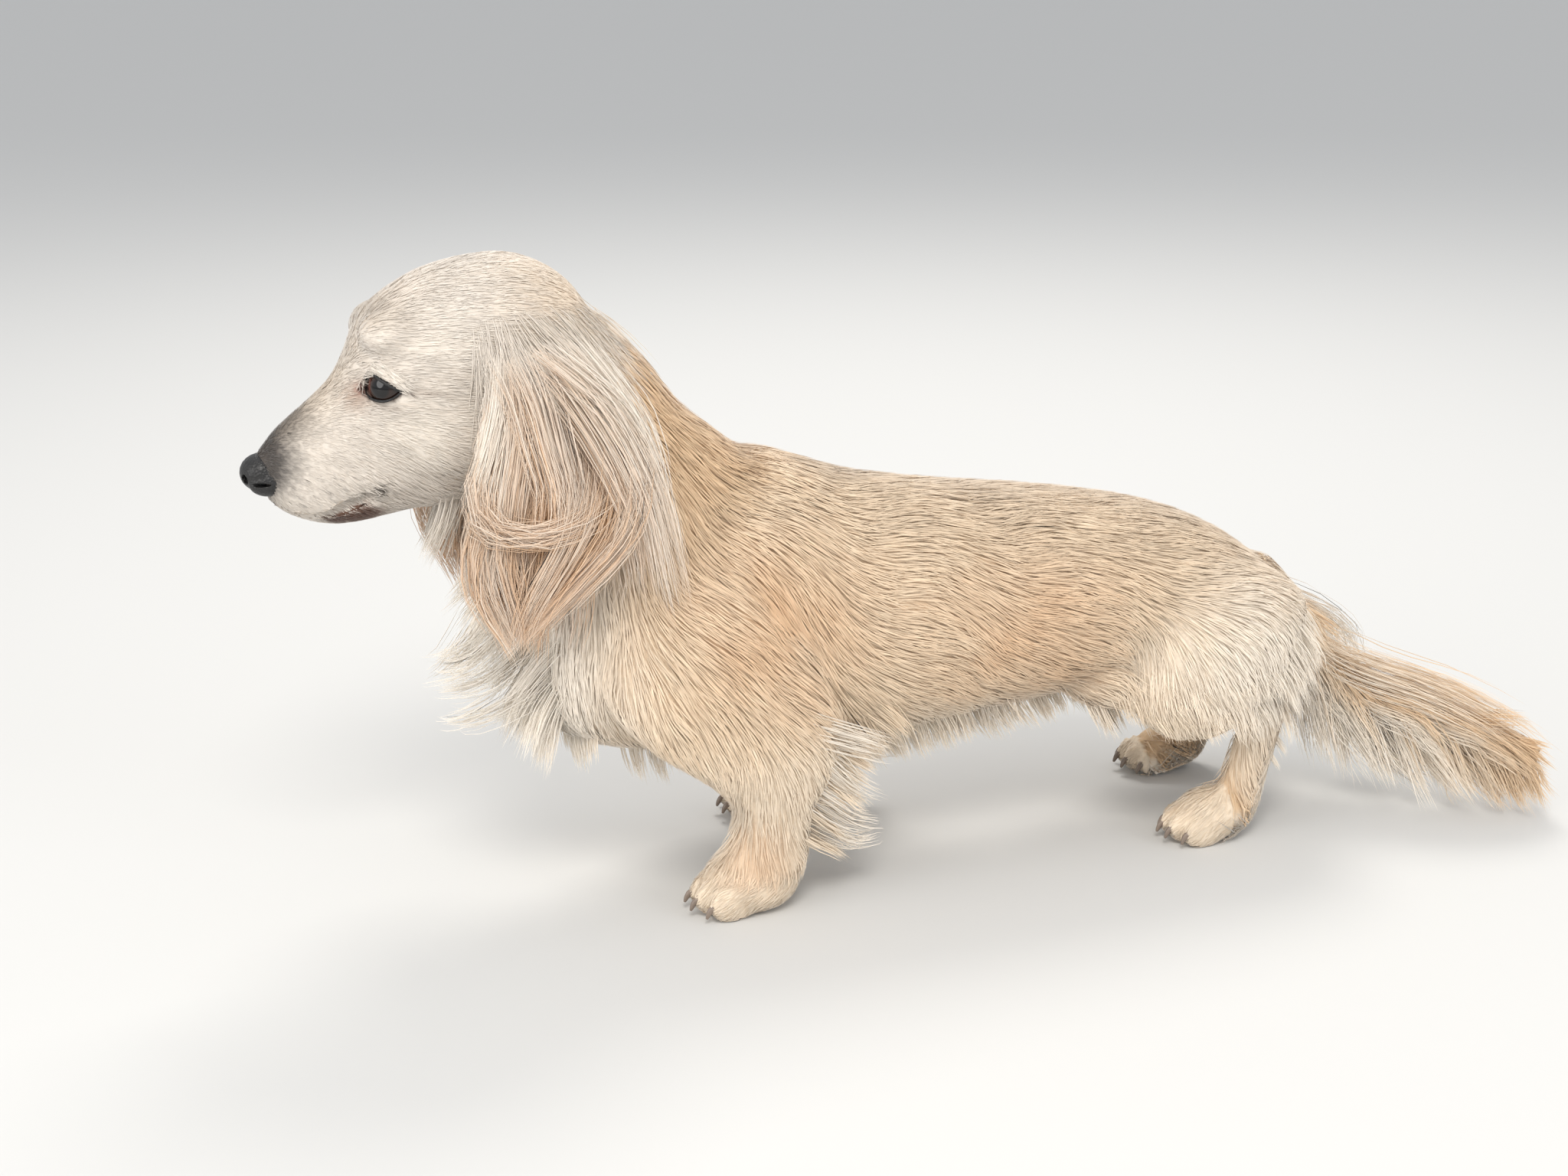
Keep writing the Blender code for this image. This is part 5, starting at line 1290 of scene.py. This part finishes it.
def ear_lie(points):
    """The way that the hair of the ears lies: back from the skull, down, and forward again below."""
    x, y, z = points.T
    rear = ramp(y, -14.8, -13.4)
    middle = ramp(y, -18.6, -16.4)
    high = ramp(z, 20.5, 24.0)
    low = ramp(19.6 - z, 0.0, 3.0)
    along = (0.10 + 0.75 * ramp(y, -18.0, -14.5)) * high
    along += (-0.14 + 0.32 * ramp(y, -17.0, -14.0)) * (1 - high) * (1 - low)
    along += (-0.10 - 0.62 * middle * (1 - rear) + 0.12 * rear) * low
    outwards = 0.12 * np.sign(x - HEAD_X) * high
    return unit(np.stack([outwards, along, -np.ones(len(x))], axis=1))


def ear_tufts(skin, strands, chance):
    """The short hair at the top of the ears and the long waves over the rest."""
    outside = ramp(skin.normals[:, 0] * np.sign(skin.points[:, 0] - HEAD_X), -0.5, 0.0)
    points, normals = skin.scatter(EAR_TUFTS_PER_CM2 * outside, chance)
    count = len(points)
    z = points[:, 2]
    across = np.cross(normals, ear_lie(points))
    lean = 0.16 * waves(points, 2.4, 21) + chance.normal(scale=0.09, size=count)
    lengths = (2.0 + 1.6 * ramp(24.0 - z, 0.0, 5.0)) * chance.uniform(0.75, 1.2, count)
    heights = (0.14 + 0.24 * ramp(23.0 - z, 0.0, 4.0)) * chance.uniform(0.4, 1.2, count)
    paths = [points - normals * 0.06]
    spot = points
    for k in range(1, EAR_STEPS + 1):
        way = unit(ear_lie(spot) + across * lean[:, None])
        spot = spot + way * (lengths / EAR_STEPS)[:, None]
        near, outs, far = skin.nearest(spot)
        on_ear = near + outs * (heights * (0.4 + 0.6 * k / EAR_STEPS))[:, None]
        laid = np.where((far < 0.35)[:, None], on_ear, spot)
        spot = np.where((np.linalg.norm(laid - spot, axis=1) < 0.5)[:, None], laid, spot)
        paths.append(laid)
    paths = gather_tips(np.stack(paths, axis=1), 9, 0.35, 0.8, chance)
    phases = (points @ np.array((0.3, 1.1, 0.9))) + 0.9 * waves(points, 2.0, 22)
    paths = waved(paths, across, lengths * 0.09, 1.0, phases)
    paths[..., 0] = HEAD_X + np.clip(paths[..., 0] - HEAD_X, -EAR_REACH, EAR_REACH)
    strands.add(paths, normals, markings(points, normals, ear=True), EAR_HAIR_WIDTH, chance)


def guide_rows():
    """Each lock of the long coat: its part, first place, lie, length and width, for both sides."""
    groups = [("body", RUFF_ROWS + BELLY_ROWS + RUMP_ROWS, 1, 0.0, 0.0)]
    for side in (1, -1):
        groups += [("leg", ELBOW_ROWS, side, FRONT_STEP_BACK, 0.0),
                   ("leg", TROUSER_ROWS + THIGH_ROWS, side, HIND_STEP_BACK, 0.0),
                   ("ear", EAR_ROWS, side, 0.0, 2 * HEAD_X)]
    chance = np.random.default_rng(SEED + 5)
    locks = []
    for kind, rows, side, back, shift in groups:
        for first, last, count, lie_first, lie_last, length, width in rows:
            count = max(2, round(count * DENSER))
            for k in range(count):
                near = between(first, last, k / (count - 1)) + chance.uniform(-0.28, 0.28, 3)
                lie = between(lie_first, lie_last, k / (count - 1))
                if side < 0:
                    near = np.array((-near[0] + shift, near[1] + back * step(near[2] * CM), near[2]))
                    lie[0] = -lie[0]
                lie = unit(lie + chance.uniform(-0.10, 0.10, 3))
                locks.append((kind, near, lie, length * chance.uniform(0.85, 1.15), width))
    return locks + plume_locks(chance)


def plume_locks(chance):
    """The locks around the tail, that fall from its underside and lie along its top."""
    path = np.array([stay[:3] for stay in smooth_rows(TAIL_STAYS, 8)])
    locks = []
    for turn, first, last, count, length, width in PLUME_ROWS:
        count = round(count * DENSER)
        for k in range(count):
            t = first + (last - first) * (k + 0.3 * (turn != 0)) / count
            place = t * (len(path) - 1)
            at = int(place)
            ahead = path[min(at + 1, len(path) - 1)]
            along = unit(ahead - path[max(at - 1, 0)])
            side = unit(np.cross(along, (0, 0, 1)))
            up = unit(np.cross(side, along))
            angle = math.radians(turn) + chance.uniform(-0.2, 0.2)
            out = -up * math.cos(angle) + side * math.sin(angle)
            fall = max(math.cos(angle), 0.0)
            down = np.array((0, 0, -0.75)) * (0.25 + 0.75 * fall)
            lie = along * (0.62 + 0.35 * (1 - fall)) + down + out * 0.22
            near = path[at] + (ahead - path[at]) * (place - at) + out * 1.2
            lie = unit(lie + chance.uniform(-0.1, 0.1, 3))
            locks.append(("tail", near, lie, length * (1.1 - 0.4 * t * t) * chance.uniform(0.85, 1.15), width))
    return locks


def lock_hairs(skin, lock, hairs, chance):
    """The hairs of one lock: roots spread over its foot, tips drawn towards the lock's own."""
    kind, near, lie, length, width = lock
    place, normal, _ = (found[0] for found in skin.nearest(near[None]))
    lie = unit(lie)
    side = unit(np.cross(lie, normal))
    spread = chance.normal(scale=0.42, size=(hairs, 3)) * (width, length * 0.22, 0.0)
    roots, outs, _ = skin.nearest(place + side * spread[:, :1] + lie * spread[:, 1:2])
    t = np.linspace(0, 1, LONG_STEPS + 1)[None, :, None]
    lengths = length * chance.uniform(0.55, 1.08, hairs)[:, None, None]
    lifted = unit(lie + outs * chance.uniform(0.25, 0.75, (hairs, 1)))[:, None]
    ends = unit(lie + chance.normal(scale=0.10, size=(hairs, 3)))[:, None]
    paths = (roots - outs * 0.15)[:, None] + (lifted * (t - t * t / 2) + ends * t * t / 2) * lengths
    guide = (place + (unit(lie + normal * 0.45) * (t[0] - t[0] ** 2 / 2) + lie * t[0] ** 2 / 2) * length)[None]
    paths = paths + (guide - paths) * GATHERED[kind] * t ** 1.6 * (chance.random((hairs, 1, 1)) < 0.86)
    swing = length * chance.uniform(0.02, 0.055)
    phase = chance.uniform(0, 6.28)
    turns = chance.uniform(0.7, 1.2)
    paths = waved(paths, np.tile(side, (hairs, 1)), swing * chance.uniform(0.7, 1.3, hairs), turns,
                  phase + chance.normal(scale=0.3, size=hairs))
    paths[:, :, 2] = np.maximum(paths[:, :, 2], LOWEST_HAIR)
    return paths, roots, outs


def sideways(paths, outs):
    """The ways that hanging hairs show their flat sides: out of the body and to its side."""
    along = unit(paths[:, -1] - paths[:, 0])
    side = np.where(outs[:, :1] + 0.3 * np.sign(paths[:, 0, :1]) > 0, 1.0, -1.0) * np.array((1.0, 0.0, 0.1))
    return flattened(0.55 * outs + 0.85 * side, along)


def long_coat(skin, ears, strands):
    """The ruff, the feathering, the trousers, the plume and the fringes of the ears."""
    chance = np.random.default_rng(SEED + 9)
    for lock in guide_rows():
        kind = lock[0]
        hairs = HAIRS_PER_LOCK[kind]
        paths, roots, outs = lock_hairs(ears if kind == "ear" else skin, lock, hairs, chance)
        colours = markings(roots, outs, ear=kind == "ear")
        if kind == "body":
            colours = blend(colours, WHITE, 0.35)
        if kind != "ear":
            outs = sideways(paths, outs)
        strands[kind].add(paths, outs, colours, LOCK_HAIR_WIDTH, chance, spread=0.4)


def mirrored_points(points, side, shift=0.0, back=0.0):
    """The points on the left, or their mirror image with the foot set back."""
    if side > 0:
        return points
    return [(-x + shift, y + back * step(z * CM), z) for x, y, z in points]


def wisp_hairs(skin, points, spread_root, spread_tip, hairs, chance):
    """The hairs of a lock that runs along its own line."""
    line = smooth_rows(points, 8)
    t = np.linspace(0, 1, len(line))
    along = np.linspace(0, 1, CURL_STEPS + 1)[None]
    start = chance.uniform(0.0, 0.34, hairs) * (chance.random(hairs) < 0.6)
    end = chance.uniform(0.72, 1.06, hairs)
    s = start[:, None] + (end - start)[:, None] * along
    middle = np.stack([np.interp(s, t, line[:, k]) for k in range(3)], axis=-1)
    middle = middle + np.clip(s - 1, 0, 1)[..., None] * (line[-1] - line[-4]) * 8 / 3
    offset = np.clip(chance.normal(size=(hairs, 1, 3)), -2, 2)
    width = (spread_root + (spread_tip - spread_root) * s)[..., None]
    paths = middle + offset * width * (0.6, 1.0, 0.8)
    paths += chance.normal(scale=0.035, size=paths.shape) * along[..., None]
    swing = 0.13 * chance.uniform(0.2, 1.4, hairs)[:, None] * s
    turn = 2 * math.pi * chance.uniform(1.0, 1.5) * s + chance.uniform(0, 6.28)
    turn = turn + chance.normal(scale=0.6, size=(hairs, 1))
    paths += (swing * np.sin(turn))[..., None] * (0.35, 0.9, 0.3)
    near, outs, far = skin.nearest(paths[:, 0])
    paths[:, 0] = np.where((far < 0.9)[:, None], near - outs * 0.1, paths[:, 0])
    paths[:, :, 2] = np.maximum(paths[:, :, 2], LOWEST_HAIR)
    return paths, outs


def single_locks(skin, strands):
    """The locks that show one by one, gathered by where they grow."""
    chance = np.random.default_rng(SEED + 13)
    groups = [("ear", EAR_CURLS, 2 * HEAD_X, 0.0, (1, -1)), ("body", CHEST_WISPS + RUMP_WISPS, 0.0, 0.0, (1,)),
              ("leg", ELBOW_WISPS, 0.0, FRONT_STEP_BACK, (1, -1)), ("tail", TAIL_WISPS, 0.0, 0.0, (1,))]
    for kind, table, shift, back, sides in groups:
        # On the curls of the ears the whitening is a painted highlight; on the chest, elbows and tail it is
        # the pale hair itself.
        paleness_and_highlights = (0.5, 0.9) if kind in ("body", "leg") else (0.0, 0.5)
        for side, (points, spread_root, spread_tip, hairs) in itertools.product(sides, table):
            placed = mirrored_points(points, side, shift, back)
            paths, outs = wisp_hairs(skin, placed, spread_root, spread_tip, hairs, chance)
            middles = paths[:, CURL_STEPS // 2]
            colours = markings(middles, outs, ear=kind == "ear")
            colours = blend(colours, WHITE, chance.uniform(*paleness_and_highlights, hairs))
            if kind != "ear":
                outs = sideways(paths, outs)
            strands[kind].add(paths, outs, colours, WISP_WIDTH, chance, (0.6, 1.5), 0.5)


def skin_of(name, forms, voxel):
    """The forms as one smooth closed skin."""
    obj = object_of(name, forms)
    remesh = obj.modifiers.new("Remesh", "REMESH")
    remesh.mode = "VOXEL"
    remesh.voxel_size = voxel
    smooth = obj.modifiers.new("Smooth", "SMOOTH")
    smooth.factor = 0.5
    smooth.iterations = SMOOTH_ROUNDS
    return apply_all(obj)


def cut(obj, other):
    """Takes the other object out of this one, and discards it."""
    modifier = obj.modifiers.new("Boolean", "BOOLEAN")
    modifier.operation = "DIFFERENCE"
    modifier.solver = "MANIFOLD"
    modifier.object = other
    apply_all(obj)
    discard(other)


def block_below():
    """A block that cuts the soles flat."""
    bm = bmesh.new()
    bmesh.ops.create_cube(bm, size=1.0, matrix=Matrix.Translation((0, 0, SOLE_HEIGHT - 0.5)))
    return bm


def make_skins():
    """The skin of the whole body and that of the ears, both inside the coat."""
    body = skin_of("dog_skin", body_forms() + head_forms(), BODY_VOXEL)
    cut(body, object_of("below", [block_below()]))
    ears = []
    for side in (1, -1):
        forms = [ribbed(EAR_RIBS, sides=20), limb(EAR_FOLD, sides=12)]
        if side < 0:
            forms = [mirrored(bm) for bm in forms]
            for bm in forms:
                bmesh.ops.translate(bm, vec=(2 * HEAD_X * CM, 0, 0), verts=bm.verts)
        ears.append(skin_of("ear", forms, EAR_VOXEL))
    return body, ears


def carve_face(body):
    """The opening of the lids and the line of the mouth."""
    mesh = body.data
    tree = BVHTree.FromPolygons([v.co for v in mesh.vertices], [tuple(p.vertices) for p in mesh.polygons])
    stays = []
    path = lip_path()
    for k, place in enumerate(path):
        on_skin = tree.find_nearest(Vector(place) * CM)[0] / CM
        u = abs(2 * k / (len(path) - 1) - 1)
        radius = LIP_GROOVE * (0.5 + 0.5 * math.sqrt(1 - u * u) + 0.9 * math.exp(-((u - 0.72) / 0.16) ** 2))
        stays.append((*on_skin, radius, radius * 1.2))
    cut(body, object_of("groove", [limb(stays, sides=10, steps=2)]))
    for side in (1, -1):
        cut(body, object_of("opening", [eye_opening(side)]))


def shrink(obj, depth_of):
    """Draws the skin in by the depth of its coat. The object is still in the body's own frame."""
    points = read_points(obj.data) / CM
    normals = read_points(obj.data, "normal")
    write_points(obj.data, (points - normals * depth_of(points)[:, None]) * CM)


def make_lids(material):
    """The dark bare rims of the lids."""
    for name, side in (("left", 1), ("right", -1)):
        forms = []
        for lid, radius in ((UPPER_LID, UPPER_RIM), (LOWER_LID, LOWER_RIM)):
            forms.append(limb(lid_stays(side, *lid, radius), sides=12, steps=2))
        rim = object_of(f"lid_rims_{name}", forms)
        dress(rim, material)
        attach(rim, "root")


def make_eyes(material):
    """The eyeballs, with pupil and iris as colours of the mesh and a cornea that bulges a little."""
    for name, side in (("left", 1), ("right", -1)):
        middle, out, back, _ = eye_axes(side)
        bm = bmesh.new()
        bmesh.ops.create_uvsphere(bm, u_segments=72, v_segments=48, radius=EYE_RADIUS * CM)
        turn = Vector((0, 0, 1)).rotation_difference(out).to_matrix().to_4x4()
        bmesh.ops.transform(bm, matrix=Matrix.Translation(middle) @ turn, verts=bm.verts)
        eye = object_of(f"eyeball_{name}", [bm])
        away = read_points(eye.data) - np.array(middle)
        angle = np.arccos(np.clip(away @ np.array(out) / np.linalg.norm(away, axis=1), -1, 1))
        bulge = 1 + 0.05 * (1 - ramp(angle, 0.45, 0.95))
        write_points(eye.data, np.array(middle) + away * bulge[:, None])
        inwards = -(away @ np.array(back)) / CM
        colours = np.tile(EYE_RING, (len(away), 1))
        for paint, share in ((IRIS, 1 - ramp(angle, 0.5, 0.8)), (PUPIL, 1 - ramp(angle, 0.36, 0.44)),
                             (TEAR_FLESH, 0.85 * ramp(inwards, 0.40, 0.62))):
            colours = blend(colours, paint, share)
        set_colours(eye.data, "marking", colours)
        dress(eye, material)
        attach(eye, "root")
        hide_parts(f"eye_{name}")


def make_nose(material):
    """The bare leathery pad of the nose with its nostrils, side slits and groove."""
    forms = [on_head(NOSE_PAD, 1)] + [on_head(NOSE_WING, side) for side in (-1, 1)]
    nose = skin_of("nose_pad", forms, NOSE_VOXEL)
    holes = [(form, side, turn) for side in (-1, 1) for form, turn in ((NOSTRIL, 25), (NOSTRIL_SLIT, 10))]
    for form, side, turn in holes + [(PHILTRUM, 1, 0)]:
        cut(nose, object_of("hole", [on_head(form, side, turn=turn)]))
    dress(nose, material)
    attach(nose, "root")
    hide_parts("nose")


def claw(x, y, z, turn):
    """A short worn claw that curves down from the front of a toe."""
    angle = math.radians(turn)
    way = Vector((math.sin(angle), -math.cos(angle), 0))
    root = Vector((x, y, z)) + way * 0.98 + Vector((0, 0, -0.02))
    stays = []
    for t in (-0.5, 0.0, 0.35, 0.7, 0.9, 1.0):
        place = root + way * CLAW_LENGTH * t * 0.85 + Vector((0, 0, -0.42 * max(t, 0) ** 2))
        thick = CLAW_RADIUS * math.sqrt(max(1.0 - (max(t, 0) * 0.94) ** 2.2, 0.05))
        stays.append((*place, thick * 0.8, thick))
    return limb(stays, sides=12, steps=2)


def make_claws(material):
    """Four claws on each paw, as one piece."""
    forms = []
    for centre, size, back in ((FRONT_PAW, FRONT_PAW_SIZE, FRONT_STEP_BACK),
                               (HIND_PAW, HIND_PAW_SIZE, HIND_STEP_BACK)):
        left = [claw(*toe) for toe in toe_places(centre, size)]
        forms += left + [mirrored(bm, back) for bm in left]
    claws = object_of("claws", forms)
    dress(claws, material)
    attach(claws, "root")
    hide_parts(*[f"claw_{end}_{side}_{number}" for end in ("front", "hind")
                         for side in ("left", "right") for number in (1, 2, 3, 4)])


def light(name, place, aim, size, power, colour):
    data = bpy.data.lights.new(name, "AREA")
    data.shape = "DISK"
    data.size = size
    data.energy = power
    data.color = colour
    obj = bpy.data.objects.new(name, data)
    obj.location = place
    obj.rotation_euler = (Vector(aim) - Vector(place)).to_track_quat("-Z", "Y").to_euler()
    bpy.context.scene.collection.objects.link(obj)


def make_stage():
    """The floor and the lights."""
    bm = bmesh.new()
    bmesh.ops.create_grid(bm, x_segments=1, y_segments=1, size=FLOOR_SIZE)
    floor = object_of("floor", [bm])
    material, tree, shader = new_material("floor_pale", 0.9)
    shader.inputs["Base Color"].default_value = FLOOR_COLOUR
    floor.data.materials.append(material)
    world = bpy.data.worlds.new("studio")
    world.use_nodes = True
    background = world.node_tree.nodes["Background"]
    background.inputs["Color"].default_value = SKY_COLOUR
    background.inputs["Strength"].default_value = SKY_STRENGTH
    bpy.context.scene.world = world
    bpy.context.scene.view_settings.view_transform = "Standard"
    for one in LIGHTS:
        light(*one)


def make_camera():
    """The camera, at the photo's angle."""
    data = bpy.data.cameras.new("camera")
    data.sensor_width = 36.0
    data.lens = FOCAL_PX / FRAME_WIDTH_PX * data.sensor_width
    camera = bpy.data.objects.new("camera", data)
    yaw, pitch, roll = (math.radians(a) for a in CAMERA_TURN)
    ahead = Vector((-math.cos(yaw) * math.cos(pitch), -math.sin(yaw) * math.cos(pitch), -math.sin(pitch)))
    right = ahead.cross(Vector((0, 0, 1))).normalized()
    up = right.cross(ahead)
    right, up = right * math.cos(roll) + up * math.sin(roll), up * math.cos(roll) - right * math.sin(roll)
    turned = Matrix((right, up, -ahead)).transposed().to_4x4()
    camera.matrix_world = Matrix.Translation(Vector(CAMERA_PLACE) + Vector(SHIFT)) @ turned
    bpy.context.scene.collection.objects.link(camera)
    bpy.context.scene.camera = camera


def dress_skins():
    """The skins of the body and the ears as pieces, and as numbers for the coat to grow on."""
    body, ears = make_skins()
    carve_face(body)
    shrink(body, lambda points: coat_depth(points, regions(points)))
    joined = bmesh.new()
    for ear in ears:
        shrink(ear, lambda points: np.full(len(points), EAR_COAT_DEPTH))
        joined.from_mesh(ear.data)
    discard(*ears)
    ear = object_of("ear_leather", [joined])
    ear_skin = Skin(ear)
    body_skin = Skin(body, ear_skin)
    cover = skin_material("skin")
    for obj, skin in ((body, body_skin), (ear, ear_skin)):
        set_colours(obj.data, "marking", markings(skin.points, skin.normals, ear=obj is ear))
        dress(obj, cover)
        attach(obj, "root")
    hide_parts("torso", "neck", "head", "tail",
                *[f"{part}_{side}" for part in ("foreleg", "hindleg", "paw_front", "paw_hind")
                  for side in ("left", "right")])
    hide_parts("ear_left", "ear_right")
    return body_skin, ear_skin


def grow_coat(body_skin, ear_skin):
    """Every hair, gathered into pieces by where it grows."""
    hair = hair_material("hair")
    chance = np.random.default_rng(SEED)
    face, trunk, legs, ear_hair = Strands(), Strands(), Strands(), Strands()
    for strands, *rest in ((face, (HEAD,), 1.0, 7, 0.15), (trunk, (NECK, TORSO, TAIL), 1.0, 6, 0.12),
                           (legs, (FORE, HIND, FOOT), 0.8, 6, 0.12)):
        coat_tufts(body_skin, strands, *rest, chance)
    lid_hairs(body_skin, face, chance)
    ear_tufts(ear_skin, ear_hair, chance)
    crown_hairs(body_skin, ear_hair, chance)
    long, curls = ({kind: Strands() for kind in HAIRS_PER_LOCK} for _ in range(2))
    long_coat(body_skin, ear_skin, long)
    single_locks(body_skin, curls)
    styles = [
        (SHORT_PROFILE, LYING_SOFTNESS, [("face_hair", face, "face_coat"), ("body_hair", trunk, "body_coat"),
                                         ("leg_hair", legs, "leg_coat")]),
        (LONG_PROFILE, EAR_SOFTNESS, [("ear_hair", ear_hair, "ear_coat")]),
        (LONG_PROFILE, HANGING_SOFTNESS, [
            ("ruff_hair", long["body"], "body_coat"), ("leg_feathering", long["leg"], "leg_coat"),
            ("ear_feathering", long["ear"], "ear_coat"), ("tail_plume", long["tail"], "body_coat")]),
        (CURL_PROFILE, HANGING_SOFTNESS, [
            ("ear_curls", curls["ear"], "ear_coat"), ("body_wisps", curls["body"], "body_coat"),
            ("elbow_wisps", curls["leg"], "leg_coat"), ("tail_wisps", curls["tail"], "body_coat")]),
    ]
    for profile, softness, pieces in styles:
        for name, strands, slot in pieces:
            for piece in strands.build(name, hair, profile, softness):
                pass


def make_bare_parts():
    """The lids, eyes, nose and claws."""
    black = bare_material("bare_black", (0.010, 0.0095, 0.0095), 0.46, 0.0010, 0.0005, coat=0.12)
    make_lids(black)
    make_eyes(eye_material())
    make_nose(black)
    make_claws(bare_material("claw_horn", (0.22, 0.17, 0.135), 0.4, 0.002, 0.0001, coat=0.1))


def main():
    make_stage()
    make_camera()
    grow_coat(*dress_skins())
    make_bare_parts()


main()
